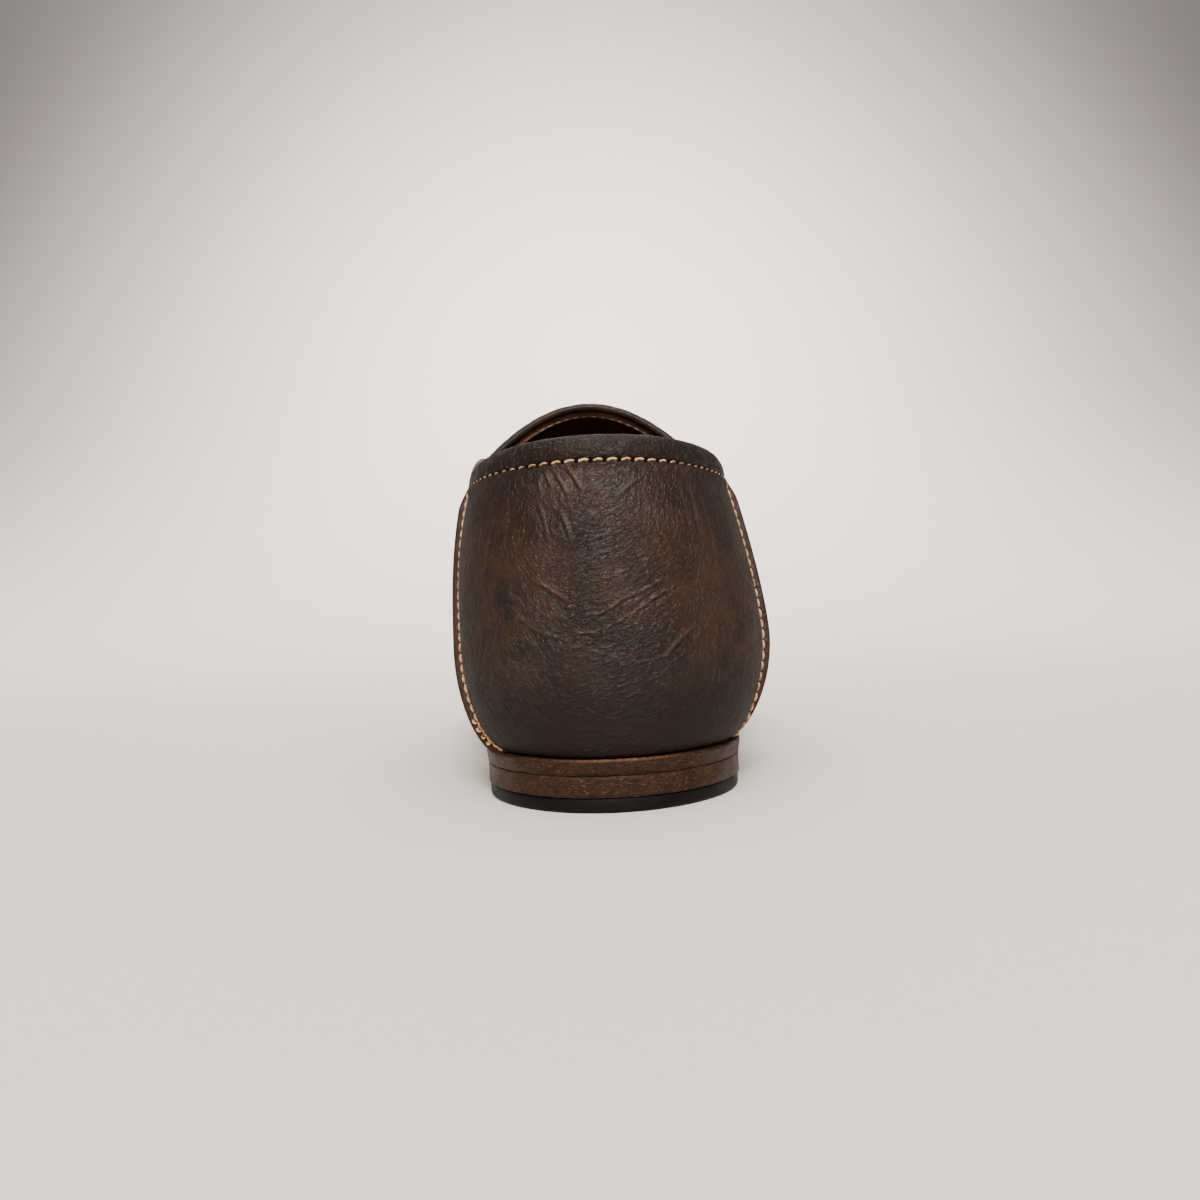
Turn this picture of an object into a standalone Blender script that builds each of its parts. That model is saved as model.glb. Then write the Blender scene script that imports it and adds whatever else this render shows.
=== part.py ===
"""Bit loafer for the right foot.

Sizes are in millimetres and meshes in metres. The heel points to -Y, the toe to +Y, the outer
(lateral) side of the foot to +X, and the floor is z = 0. While a piece is shaped, y is counted
from the back of the heel; the empty at the end centres the whole shoe over the origin.
"""

import math

import bpy
import numpy as np

MM = 0.001
GAP = 0.3  # air left between two pieces that touch

# Sole and heel stack
TOP_PIECE = 3.1
LIFT = 4.0
OUTSOLE = 3.3
HEEL_RISE = TOP_PIECE + LIFT + 2 * GAP  # underside of the outsole at the heel
BREAST_Y = 66.0  # front of the heel
SHANK_END_Y = 158.0  # where the underside reaches the floor
TREAD_END_Y = 204.0  # where the toe spring starts
TOE_SPRING = 8.5
EDGE_TAPER = 0.4  # the sole's edge leans in this far from top to bottom
EDGE_BELLY = 0.35  # share of the edge's height where half of that is left
EDGE_ROUND = 0.2
LIFT_INSET = 0.4  # each heel layer stands this far inside the edge of the sole
TOP_PIECE_INSET = 0.7
TOP_PIECE_ROUND = 0.9
INSOLE = 2.2
INSOLE_EASE = 1.3  # the board stays this far inside the line where the upper meets the sole
INSOLE_BEVEL = 0.8

# Upper
WALL = 2.0
FEATHER_INSET = 1.6  # the upper meets the sole this far inside the sole's edge
MARGIN = 4.0  # lasting margin, turned in under the insole
BELLY_RISE = 0.4  # share of the wall's rows below its widest line
TUCK = {"lateral": 1.3, "medial": 1.45}  # how late the wall swells out above the sole
LEAN_HEEL = {"lateral": 1.3, "medial": 3.2}  # how late the wall leans in above its widest line
LEAN_TOE = 2.1
SIDE_BLEND = 0.06  # share of the length over which the two sides run into each other at heel and toe
SEAM_SHARE = 0.14  # side seam, as a share of the length
SEAM_SLANT = 0.04  # the seam's head lies this share further forward than its foot
SEAM_SPREAD = 0.13
SEAM_SWEEP = {"lateral": 0.15, "medial": 0.5}  # how far the seam's foot sweeps back to the heel
SWEEP_REACH = 0.25
SEAM_STEP = 0.002  # width of the step at the seam, as a place along the side
SEAM_PROUD = 1.1  # the front piece stands over the back panel at the side seam
SEAM_FADE = 14.0
COLLAR_SHARE = 0.085  # share of the wall taken by the collar band
COLLAR_COLUMNS = ("below", "relief", "depth")  # share of the band below its top, then out and in
COLLAR_ROWS = ((0.93, 0.0, 2.0), (0.7, 0.5, 3.0), (0.35, 0.5, 3.0), (0.1, 0.1, 2.6), (0.0, -0.9, 2.1))
SEAM_CLEAR = 0.002  # share of the length left open between the band and the seam
FRONT_DIP = 0.045  # at the seam the front piece's top edge is lower by this share of the wall
THROAT_Y = 107.0  # corner where topline, apron seam and tongue meet
TONGUE_BOW = 9.0  # the middle of the tongue's edge lies this far ahead of its corners
TONGUE_FADE = 60.0
APRON_ROUND = 2.0
APRON_RIDGE = 1.5  # height of the raised apron seam
BINDING_RADIUS = 1.5

# Bit and its leather tabs; arcs are counted over the apron from its middle
BIT_Y = 134.0
RING_ARC = 19.0
RING_RADIUS = 7.5
WIRE_RADIUS = 1.5
RING_LIFT = 3.2  # middle of the ring above the leather
BAR_LIFT = 3.3
BAR_DROOP = 0.75  # the bar's ends lie this much further off the leather
TAB_THICK = 1.4
TAB_WIDTH = 7.0
TAB_END_ARC = 35.0
TAB_LOOP = 2.85  # radius of the fold round the ring, at the middle of the leather
TAB_SHIFT = 1.1  # the fold's middle lies inside the ring's wire, which curves away
TAB_COLUMNS = ("beyond_wire", "drop")  # the tab's way from the fold back down to the seam
TAB_ROWS = ((1.9, 0.0), (5.0, 1.6))
TAB_RUN = 3.0  # the lower leaf lies flat up to this far beyond the wire
BAR_COLUMNS = ("place", "radius")  # from the middle of the bar to its end
BAR_ROWS = (
    (0.0, 2.6), (0.14, 2.6), (0.18, 1.9), (0.3, 1.7), (0.6, 1.45),
    (0.64, 2.2), (0.8, 2.2), (0.84, 1.5), (1.0, 1.4),
)

# Sections from heel to toe: half widths from the centre line at the sole's edge, at the widest
# line (belly) and at the top edge, with the heights of belly and top edge, and the crown of the
# apron above its seam.
SECTION_COLUMNS = (
    "y", "centre", "sole_lateral", "sole_medial", "belly_lateral", "belly_medial", "belly_z",
    "top_lateral", "top_medial", "top_z", "crown",
)
SECTION_ROWS = (
    (0.0, -1.0, 28.6, 27.6, 35.4, 33.8, 36.0, 28.0, 29.4, 78.4, 19.0),
    (50.0, 0.0, 30.5, 29.4, 37.4, 35.6, 34.0, 28.6, 31.2, 77.4, 19.0),
    (80.0, -0.3, 31.0, 28.4, 39.6, 38.6, 34.0, 29.8, 35.2, 79.4, 19.0),
    (107.0, -1.2, 33.5, 28.8, 42.6, 41.2, 32.0, 29.6, 34.0, 86.0, 19.0),
    (135.0, -0.4, 38.5, 33.5, 45.2, 43.8, 29.0, 30.4, 33.0, 77.0, 18.5),
    (165.0, 0.5, 43.5, 40.5, 48.2, 47.0, 24.5, 33.0, 34.0, 64.0, 15.5),
    (195.0, 0.3, 46.0, 44.6, 49.6, 49.2, 21.5, 33.5, 34.5, 52.8, 11.0),
    (225.0, -1.2, 45.2, 45.4, 48.2, 48.6, 21.0, 32.0, 33.0, 44.8, 6.5),
    (255.0, -3.6, 40.0, 42.0, 42.6, 44.6, 23.5, 27.5, 29.0, 40.6, 3.0),
    (288.0, -7.0, 33.0, 36.0, 35.0, 38.0, 27.0, 22.0, 23.5, 38.0, 0.5),
)
# Where each of the three lines starts and ends, and how far its round heel and toe reach
END_COLUMNS = ("back", "heel_reach", "front", "toe_reach")
ENDS = {
    "sole": dict(zip(END_COLUMNS, (3.0, 38.0, 284.5, 44.0))),
    "belly": dict(zip(END_COLUMNS, (0.0, 43.0, 288.0, 46.0))),
    "top": dict(zip(END_COLUMNS, (6.0, 46.0, 266.0, 36.0))),
}
SIDES = {"lateral": 1.0, "medial": -1.0}

# Columns and rows of the meshes
BACK_COLUMNS, MIDDLE_COLUMNS, FRONT_COLUMNS = 10, 9, 18
SOLE_COLUMNS, HEEL_COLUMNS, INSOLE_COLUMNS = 40, 16, 34
LOW_ROWS, HIGH_ROWS, SEAM_ROW = 6, 7, 0.95
TUBE_SIDES, RING_SEGMENTS, FOLD_POINTS, LINE_POINTS, ROUND_RINGS = 10, 28, 9, 241, 4
APRON_ACROSS = np.array([1.0, 0.94, 0.7, 0.42, 0.14, -0.14, -0.42, -0.7, -0.94, -1.0])
ARCH_POINTS = 19

# Colours and finishes: linear red, green and blue, roughness, metallic
FINISHES = {
    "upper_leather": ((0.050, 0.032, 0.025), 0.50, 0.0),
    "sole_leather": ((0.055, 0.028, 0.018), 0.60, 0.0),
    "lining_leather": ((0.070, 0.030, 0.016), 0.65, 0.0),
    "rubber": ((0.013, 0.014, 0.014), 0.60, 0.0),
    "brass": ((0.62, 0.43, 0.19), 0.28, 1.0),
}


def table(columns, rows):
    """Columns of a table by name."""
    return {name: np.array(values) for name, values in zip(columns, zip(*rows))}


SECTION = table(SECTION_COLUMNS, SECTION_ROWS)


def spline(knots, values, at):
    """Natural cubic spline through a short table, read at the given places."""
    count = len(knots)
    step = np.diff(knots)
    system = np.eye(count)
    right = np.zeros(count)
    for i in range(1, count - 1):
        system[i, i - 1:i + 2] = step[i - 1], 2 * (step[i - 1] + step[i]), step[i]
        right[i] = 6 * np.diff(np.diff(values[i - 1:i + 2]) / step[i - 1:i + 1])[0]
    bend = np.linalg.solve(system, right)
    i = np.clip(np.searchsorted(knots, at) - 1, 0, count - 2)
    a = (knots[i + 1] - at) / step[i]
    b = 1 - a
    straight = a * values[i] + b * values[i + 1]
    return straight + ((a**3 - a) * bend[i] + (b**3 - b) * bend[i + 1]) * step[i] ** 2 / 6


def smoothstep(value):
    """Ease from 0 to 1 with level ends."""
    t = np.clip(value, 0, 1)
    return t * t * (3 - 2 * t)


def unit(vectors):
    """Vectors scaled to length 1."""
    return vectors / np.linalg.norm(vectors, axis=-1, keepdims=True)


def section(name, y):
    """One column of the section table at a distance from the heel."""
    return spline(SECTION["y"], SECTION[name], y)


def rounded_end(distance, reach):
    """Quarter ellipse that closes an outline at its heel or toe."""
    return np.sqrt(1 - (1 - np.clip(distance / reach, 0, 1)) ** 2)


def share_at(place):
    """Share of the length for a place from 0 to 1 that is dense at the round heel and toe."""
    return (1 - np.cos(math.pi * place)) / 2


def place_at(share):
    """Opposite of share_at."""
    return np.arccos(1 - 2 * share) / math.pi


def edge_line(line, side, share, inset=0.0):
    """Plan of the sole, belly or top line on one side: x and y."""
    ends = ENDS[line]
    back = ends["back"] + inset
    front = ends["front"] - inset
    y = back + (front - back) * share
    closing = rounded_end(y - back, ends["heel_reach"]) * rounded_end(front - y, ends["toe_reach"])
    half = (section(f"{line}_{side}", y) - inset) * closing
    return section("centre", y) + SIDES[side] * half, y


def sole_bottom(y):
    """Underside of the outsole: level heel, shank, flat tread and toe spring."""
    shank = HEEL_RISE * (1 - smoothstep((y - BREAST_Y) / (SHANK_END_Y - BREAST_Y)))
    spring = np.clip((y - TREAD_END_Y) / (ENDS["sole"]["front"] - TREAD_END_Y), 0, 1)
    return shank + TOE_SPRING * spring**2


def sole_loop(count, inset, height):
    """Loop along the sole's outline, at a height above the underside."""
    share = share_at(np.linspace(0, 1, count))
    sides = []
    for side in SIDES:
        x, y = edge_line("sole", side, share, inset)
        sides.append(np.stack([x, y, sole_bottom(y) + height], axis=-1))
    return around(*sides)


def slanted(side, share, rise):
    """Tilt the columns near the side seam so that its head lies ahead of its foot."""
    bump = np.clip(1 - ((share - SEAM_SHARE) / SEAM_SPREAD) ** 2, 0, 1) ** 2
    tilted = share + SEAM_SLANT * (rise - 0.5) * bump
    sweep = SEAM_SWEEP[side] * np.clip(1 - rise / BELLY_RISE, 0, 1) ** 2
    return tilted * (1 - sweep * np.exp(-((tilted - SEAM_SHARE) / SWEEP_REACH) ** 2))


def side_value(values, side, share):
    """Value of one side, easing to the mean of both where the sides meet at heel and toe."""
    mean = sum(values.values()) / len(values)
    apart = smoothstep(share / SIDE_BLEND) * smoothstep((1 - share) / SIDE_BLEND)
    return mean + (values[side] - mean) * apart


def wall(side, share, rise):
    """Point of the upper's form: share runs heel to toe, rise runs from sole to top edge."""
    share = slanted(side, share, rise)
    foot_x, foot_y = edge_line("sole", side, share, FEATHER_INSET)
    belly_x, belly_y = edge_line("belly", side, share)
    top_x, top_y = edge_line("top", side, share)
    foot_z = sole_bottom(foot_y) + OUTSOLE + GAP
    belly_z = section("belly_z", belly_y)
    top_z = section("top_z", top_y)
    turn = np.clip(rise / BELLY_RISE, 0, 1) * math.pi / 2
    climb = np.clip((rise - BELLY_RISE) / (1 - BELLY_RISE), 0, 1)
    swell = np.sin(turn) ** side_value(TUCK, side, share)
    lean_heel = side_value(LEAN_HEEL, side, share)
    lean = climb ** (lean_heel + (LEAN_TOE - lean_heel) * share)
    x = foot_x + (belly_x - foot_x) * swell + (top_x - belly_x) * lean
    y = foot_y + (belly_y - foot_y) * swell + (top_y - belly_y) * lean
    z = foot_z + (belly_z - foot_z) * (1 - np.cos(turn)) + (top_z - belly_z) * climb
    return np.stack([x, y, z], axis=-1)


def margin(side, share):
    """Inner edge of the lasting margin under the insole."""
    x, y = edge_line("sole", side, slanted(side, share, 0.0), FEATHER_INSET + MARGIN)
    return np.stack([x, y, sole_bottom(y) + OUTSOLE + GAP], axis=-1)


def apron(share, across):
    """Point of the apron and tongue: across runs from 1 at the lateral seam to -1 at the medial."""
    lateral = wall("lateral", share, np.ones_like(share))
    medial = wall("medial", share, np.ones_like(share))
    y = lateral[..., 1]
    bow = TONGUE_BOW * np.clip(1 - (y - THROAT_Y) / TONGUE_FADE, 0, 1) ** 2
    crown = section("crown", y) * (1 - np.abs(across) ** APRON_ROUND)
    x = (lateral[..., 0] * (1 + across) + medial[..., 0] * (1 - across)) / 2
    return np.stack([x, y + bow * (1 - across**2), lateral[..., 2] + crown], axis=-1)


def around(lateral, medial):
    """Join the two sides, heel to toe, into one loop of columns; the ends are shared."""
    return np.concatenate([lateral, medial[..., -2:0:-1, :]], axis=-2)


def grid_faces(rows, columns, closed):
    """Quads of a grid of points, with normals towards columns cross rows."""
    across = columns if closed else columns - 1
    low = (np.arange(rows - 1)[:, None] * columns + np.arange(across)).ravel()
    beside = (np.arange(rows - 1)[:, None] * columns + (np.arange(across) + 1) % columns).ravel()
    return np.stack([low, beside, beside + columns, low + columns], axis=1)


def point_normals(points, faces):
    """Unit normals of a quad mesh at its points."""
    a, b, c, d = (points[faces[:, k]] for k in range(4))
    normal = np.cross(c - a, d - b)
    total = np.zeros_like(points)
    for k in range(4):
        np.add.at(total, faces[:, k], normal)
    return unit(total)


def shell(points, faces, relief, depth):
    """Closed wall between the surface raised by relief and the surface sunk by depth."""
    normals = point_normals(points, faces)
    count = len(points)
    outer = points + normals * np.broadcast_to(relief, count)[:, None]
    inner = points - normals * np.broadcast_to(depth, count)[:, None]
    polygons = [tuple(dict.fromkeys(face)) for face in faces.tolist()]
    edges = {(p[k - 1], p[k]) for p in polygons for k in range(len(p))}
    rim = [(b, a, a + count, b + count) for a, b in sorted(edges) if (b, a) not in edges]
    inside = [tuple(count + i for i in reversed(p)) for p in polygons]
    return np.concatenate([outer, inner]), polygons + inside + rim


def stack(rings):
    """Closed solid through loops from the lowest to the highest, capped by strips side to side."""
    loop = len(rings[0])
    sides = [tuple(face) for face in grid_faces(len(rings), loop, True).tolist()]
    strips = [(i, i + 1, (loop - i - 1) % loop, (loop - i) % loop) for i in range(loop // 2)]
    base = [tuple(dict.fromkeys(strip)) for strip in strips]
    lid = [tuple((len(rings) - 1) * loop + i for i in strip) for strip in base]
    return np.concatenate(rings), sides + lid + [tuple(reversed(strip)) for strip in base]


def swept(rings, closed):
    """Closed solid along a row of equal rings, with flat ends or joined into a hoop."""
    count, loop = rings.shape[:2]
    points = rings.reshape(-1, 3)
    faces = [tuple(face) for face in grid_faces(count, loop, True).tolist()]
    if closed:
        last = (count - 1) * loop
        faces += [(last + i, last + (i + 1) % loop, (i + 1) % loop, i) for i in range(loop)]
    else:
        faces += [tuple(reversed(range(loop))), tuple(range((count - 1) * loop, count * loop))]
    triangles = [(f[0], f[k], f[k + 1]) for f in faces for k in range(1, len(f) - 1)]
    volume = sum(np.dot(points[a], np.cross(points[b], points[c])) for a, b, c in triangles)
    return points, faces if volume > 0 else [tuple(reversed(face)) for face in faces]


def material(slot):
    """Principled finish of one material slot."""
    if slot in bpy.data.materials:
        return bpy.data.materials[slot]
    colour, roughness, metallic = FINISHES[slot]
    made = bpy.data.materials.new(slot)
    made.use_nodes = True
    shader = made.node_tree.nodes["Principled BSDF"]
    shader.inputs["Base Color"].default_value = (*colour, 1.0)
    shader.inputs["Roughness"].default_value = roughness
    shader.inputs["Metallic"].default_value = metallic
    return made


def solid(name, slot, points, faces):
    """One named object from points in millimetres."""
    mesh = bpy.data.meshes.new(name)
    mesh.from_pydata((np.asarray(points) * MM).tolist(), [], faces)
    mesh.materials.append(material(slot))
    mesh.shade_smooth()
    mesh.set_sharp_from_angle(angle=math.radians(35))
    made = bpy.data.objects.new(name, mesh)
    bpy.context.scene.collection.objects.link(made)
    return made


def top_share(y):
    """Share of the top line's length at a distance from the heel."""
    ends = ENDS["top"]
    return (y - ends["back"]) / (ends["front"] - ends["back"])


def side_shares():
    """Columns of one side of the upper, with the numbers of the seam's and the throat's columns."""
    seam = place_at(SEAM_SHARE)
    throat = place_at(top_share(THROAT_Y))
    back = np.linspace(0, seam, BACK_COLUMNS)
    middle = np.linspace(seam + SEAM_STEP, throat, MIDDLE_COLUMNS)
    front = np.linspace(throat, 1, FRONT_COLUMNS)[1:]
    shares = share_at(np.concatenate([back, middle, front]))
    return shares, BACK_COLUMNS, BACK_COLUMNS + MIDDLE_COLUMNS - 1


def front_rise(share):
    """Share of the wall's height that the front piece reaches from the side seam to the throat."""
    way = np.clip((share - SEAM_SHARE) / (top_share(THROAT_Y) - SEAM_SHARE), 0, 1)
    return 1 - FRONT_DIP * (1 - way) ** 2


def make_outsole():
    """Leather sole with a close-trimmed edge."""
    edge = (
        (EDGE_TAPER, 0.0), (EDGE_TAPER / 2, OUTSOLE * EDGE_BELLY),
        (0.0, OUTSOLE - 2 * EDGE_ROUND), (EDGE_ROUND, OUTSOLE),
    )
    rings = [sole_loop(SOLE_COLUMNS, inset, height) for inset, height in edge]
    return solid("outsole", "sole_leather", *stack(rings))


def heel_ring(inset, z):
    """Loop of the heel at one height: the sole's outline up to the straight breast."""
    ends = ENDS["sole"]
    share = (BREAST_Y - ends["back"] - 2 * inset) / (ends["front"] - ends["back"] - 2 * inset)
    shares = share_at(np.linspace(0, place_at(share), HEEL_COLUMNS))
    lateral, medial = (np.stack(edge_line("sole", side, shares, inset), axis=-1) for side in SIDES)
    loop = np.concatenate([lateral, medial[:0:-1]])
    return np.column_stack([loop, np.full(len(loop), z)])


def make_heel():
    """Leather lift and rubber top piece, each a little inside the layer above."""
    base = TOP_PIECE + GAP
    lift = [
        heel_ring(LIFT_INSET + EDGE_ROUND, base), heel_ring(LIFT_INSET, base + 2 * EDGE_ROUND),
        heel_ring(LIFT_INSET, base + LIFT),
    ]
    solid("heel_lift", "sole_leather", *stack(lift))
    pad = []
    for turn in np.linspace(0, math.pi / 2, ROUND_RINGS):
        inset = TOP_PIECE_INSET + TOP_PIECE_ROUND * (1 - math.sin(turn))
        pad.append(heel_ring(inset, TOP_PIECE_ROUND * (1 - math.cos(turn))))
    pad.append(heel_ring(TOP_PIECE_INSET, TOP_PIECE))
    solid("heel_top_piece", "rubber", *stack(pad))


def make_insole():
    """Board inside the shoe: it fills the space inside the margin and lies over the margin."""
    wide = FEATHER_INSET + INSOLE_EASE
    narrow = FEATHER_INSET + MARGIN + 2 * GAP
    ledge = OUTSOLE + WALL + 2 * GAP
    levels = (
        (narrow, OUTSOLE + GAP), (narrow, ledge), (wide, ledge),
        (wide, ledge + INSOLE - INSOLE_BEVEL), (wide + INSOLE_BEVEL, ledge + INSOLE),
    )
    rings = [sole_loop(INSOLE_COLUMNS, inset, height) for inset, height in levels]
    return solid("insole", "lining_leather", *stack(rings))


def upper_surface():
    """Form of the upper as points and quads, with the relief of its seams at each point."""
    shares, seam, throat = side_shares()
    low = np.linspace(0, BELLY_RISE, LOW_ROWS)
    high = np.linspace(BELLY_RISE, SEAM_ROW, HIGH_ROWS)[1:]
    rises = np.concatenate([low, high, [1.0]])
    height = np.where(np.arange(len(shares)) < seam, 1 - COLLAR_SHARE, front_rise(shares))
    grids = []
    for side in SIDES:
        rows = [wall(side, shares, rise * height) for rise in rises]
        grids.append(np.stack([margin(side, shares), *rows]))
    grid = around(*grids)
    rows, loop = grid.shape[:2]
    top = (rows - 1) * loop
    toe = len(shares) - 1
    last = len(APRON_ACROSS) - 1
    inside = apron(shares[throat:toe, None], APRON_ACROSS[None, 1:-1])

    def apron_point(i, k):
        """Number of an apron point; its rims are the wall's own top points."""
        if i == toe:
            return top + toe
        if k in (0, last):
            return top + (i if k == 0 else loop - i)
        return rows * loop + (i - throat) * (last - 1) + k - 1

    faces = grid_faces(rows, loop, True).tolist()
    for i in range(throat, toe):
        for k in range(last):
            corners = ((i, k), (i + 1, k), (i + 1, k + 1), (i, k + 1))
            faces.append([apron_point(*corner) for corner in corners])

    ahead = (shares - SEAM_SHARE) * ENDS["belly"]["front"]
    proud = np.where(np.arange(len(shares)) < seam, 0, SEAM_PROUD * (1 - smoothstep(ahead / SEAM_FADE)))
    relief = np.zeros(rows * loop + inside.shape[0] * inside.shape[1])
    relief[2 * loop:rows * loop] = np.tile(np.concatenate([proud, proud[-2:0:-1]]), rows - 2)
    relief[top + throat:top + loop - throat + 1] = APRON_RIDGE
    points = np.concatenate([grid.reshape(-1, 3), inside.reshape(-1, 3)])
    return points, np.array(faces), relief


def make_upper():
    """Hollow upper: wall, margin, apron and tongue in one."""
    points, faces, relief = upper_surface()
    return solid("upper", "upper_leather", *shell(points, faces, relief, WALL))


def make_collar_band():
    """Soft folded band on the back panel's top edge, from side seam to side seam."""
    shares, seam, _ = side_shares()
    shares = shares[:seam]
    shares[-1] -= SEAM_CLEAR
    band = table(COLLAR_COLUMNS, COLLAR_ROWS)
    rise = 1 - COLLAR_SHARE * band["below"][:, None]
    lateral, medial = (wall(side, shares, rise) for side in SIDES)
    grid = np.concatenate([medial[:, :0:-1], lateral], axis=1)
    rows, columns = grid.shape[:2]
    relief = np.repeat(band["relief"], columns)
    depth = np.repeat(band["depth"], columns)
    made = shell(grid.reshape(-1, 3), grid_faces(rows, columns, False), relief, depth)
    return solid("collar_band", "upper_leather", *made)


def throat_edge():
    """Front top edge, from the lateral side seam over the tongue to the medial one.

    Returns its points and the direction in which the leather's edge faces there.
    """
    shares, seam, throat = side_shares()
    run = shares[seam:throat]
    rise = front_rise(run)
    lateral, medial = (wall(side, run, rise) for side in SIDES)
    lateral_up = unit(lateral - wall("lateral", run, rise * SEAM_ROW))
    medial_up = unit(medial - wall("medial", run, rise * SEAM_ROW))
    across = np.linspace(1, -1, ARCH_POINTS)
    share = np.full_like(across, shares[throat])
    arch = apron(share, across)
    arch_up = unit(arch - apron(share + SEAM_CLEAR, across))
    arch_up[0] = unit(arch_up[0] + lateral_up[-1])
    arch_up[-1] = unit(arch_up[-1] + medial_up[-1])
    edge = np.concatenate([lateral, arch, medial[::-1]])
    return edge, np.concatenate([lateral_up, arch_up, medial_up[::-1]])


def make_throat_binding():
    """Rolled binding that sits on the front top edge."""
    edge, up = throat_edge()
    outward = unit(np.cross(np.gradient(edge, axis=0), up))
    path = edge + up * (BINDING_RADIUS + 1.3 * GAP) - outward * WALL / 2
    curve = bpy.data.curves.new("throat_binding", "CURVE")
    curve.dimensions = "3D"
    curve.bevel_depth = BINDING_RADIUS * MM
    curve.bevel_resolution = 2
    curve.use_fill_caps = True
    line = curve.splines.new("POLY")
    line.points.add(len(path) - 1)
    for point, place in zip(line.points, path * MM):
        point.co = (*place, 1.0)
    curve.materials.append(material("upper_leather"))
    made = bpy.data.objects.new("throat_binding", curve)
    bpy.context.scene.collection.objects.link(made)
    return made


def bit_line():
    """Line over the apron under the bit: arc from its middle, point, normal and way to the toe."""
    across = np.linspace(-1, 1, LINE_POINTS)
    share = np.full_like(across, top_share(BIT_Y))
    line = apron(share, across)
    toeward = unit(apron(share + SEAM_CLEAR, across) - line)
    normal = unit(np.cross(np.gradient(line, axis=0), toeward))
    arc = np.concatenate([[0], np.cumsum(np.linalg.norm(np.diff(line, axis=0), axis=1))])
    return arc - arc[-1] / 2, line, normal, toeward


def over_apron(arc, height, ahead=0.0):
    """Point above the apron at an arc from its middle, a height and a distance towards the toe."""
    arcs, *columns = bit_line()
    point, normal, toeward = (
        np.stack([np.interp(arc, arcs, column[:, k]) for k in range(3)], axis=-1) for column in columns
    )
    return point + normal * np.asarray(height)[..., None] + toeward * np.asarray(ahead)[..., None]


def tube(path, first, second, radii, closed):
    """Round tube along a path, with the two directions of its rings and its radius at each point."""
    turn = np.linspace(0, 2 * math.pi, TUBE_SIDES, endpoint=False)
    circle = np.cos(turn)[None, :, None] * first[:, None] + np.sin(turn)[None, :, None] * second[:, None]
    return swept(path[:, None] + circle * radii[:, None, None], closed)


def ring_solid(side):
    """One of the bit's rings, lying flat over the side of the apron."""
    arc = SIDES[side] * RING_ARC
    middle = over_apron(arc, RING_LIFT)
    outwards = unit(over_apron(arc + WIRE_RADIUS, RING_LIFT) - over_apron(arc - WIRE_RADIUS, RING_LIFT))
    toeward = unit(over_apron(arc, RING_LIFT, 1.0) - middle)
    turn = np.linspace(0, 2 * math.pi, RING_SEGMENTS, endpoint=False)[:, None]
    radial = np.cos(turn) * outwards + np.sin(turn) * toeward
    axis = np.broadcast_to(np.cross(outwards, toeward), radial.shape)
    radii = np.full(len(radial), WIRE_RADIUS)
    hoop = tube(middle + radial * RING_RADIUS, radial, axis, radii, True)
    made = solid(f"bit_{side}_ring", "brass", *hoop)
    made.hide_render = True
    made.display_type = "WIRE"
    return made


def make_bit():
    """Snaffle bit: a bar with a barrel and two collars, joined to a ring at each end."""
    half = table(BAR_COLUMNS, BAR_ROWS)
    place = np.concatenate([-half["place"][:0:-1], half["place"]])
    radius = np.concatenate([half["radius"][:0:-1], half["radius"]])
    arc = place * (RING_ARC - RING_RADIUS)
    path = over_apron(arc, BAR_LIFT + BAR_DROOP * place**2)
    along = unit(np.gradient(path, axis=0))
    toeward = unit(over_apron(arc, BAR_LIFT, 1.0) - over_apron(arc, BAR_LIFT))
    bit = solid("bit", "brass", *tube(path, np.cross(toeward, along), toeward, radius, False))
    for side in SIDES:
        join = bit.modifiers.new(f"{side}_ring", "BOOLEAN")
        join.operation = "UNION"
        join.solver = "EXACT"
        join.object = ring_solid(side)
    return bit


def make_bit_tab(side):
    """Leather tab: up from the apron seam, round the ring's wire and back on itself."""
    wire = RING_ARC + RING_RADIUS
    low = GAP + TAB_THICK / 2
    high = low + 2 * TAB_LOOP
    fold = [
        (wire - TAB_SHIFT - TAB_LOOP * math.sin(turn), low + TAB_LOOP * (1 - math.cos(turn)))
        for turn in np.linspace(0, math.pi, FOLD_POINTS)
    ]
    back = [(wire + beyond, high - drop) for beyond, drop in TAB_ROWS]
    end = (TAB_END_ARC, low + TAB_THICK + 1.2 * GAP)
    line = np.array([(TAB_END_ARC, low), (wire + TAB_RUN, low), *fold, *back, end])
    along = unit(np.gradient(line, axis=0))
    off = np.column_stack([-along[:, 1], along[:, 0]]) * TAB_THICK / 2
    corners = ((off, -0.5), (off, 0.5), (-off, 0.5), (-off, -0.5))
    rings = []
    for shift, edge in corners:
        arc, height = (line + shift).T
        rings.append(over_apron(SIDES[side] * arc, height, np.full(len(arc), edge * TAB_WIDTH)))
    return solid(f"bit_tab_{side}", "upper_leather", *swept(np.stack(rings, axis=1), False))


def centre_over_origin():
    """Hang every piece on one empty that puts the middle of the shoe's plan over the origin."""
    pieces = list(bpy.data.objects)
    meshes = [piece.data for piece in pieces if piece.type == "MESH"]
    points = np.array([tuple(vertex.co) for mesh in meshes for vertex in mesh.vertices])
    middle = (points.min(axis=0) + points.max(axis=0)) / 2
    frame = bpy.data.objects.new("shoe_frame", None)
    frame.location = (-middle[0], -middle[1], 0.0)
    for piece in pieces:
        piece.parent = frame
    bpy.context.scene.collection.objects.link(frame)


def main():
    """Build the shoe from the floor up."""
    for old in list(bpy.data.objects):
        bpy.data.objects.remove(old, do_unlink=True)
    make_heel()
    make_outsole()
    make_insole()
    make_upper()
    make_collar_band()
    make_throat_binding()
    for side in SIDES:
        make_bit_tab(side)
    make_bit()
    centre_over_origin()


main()
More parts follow.
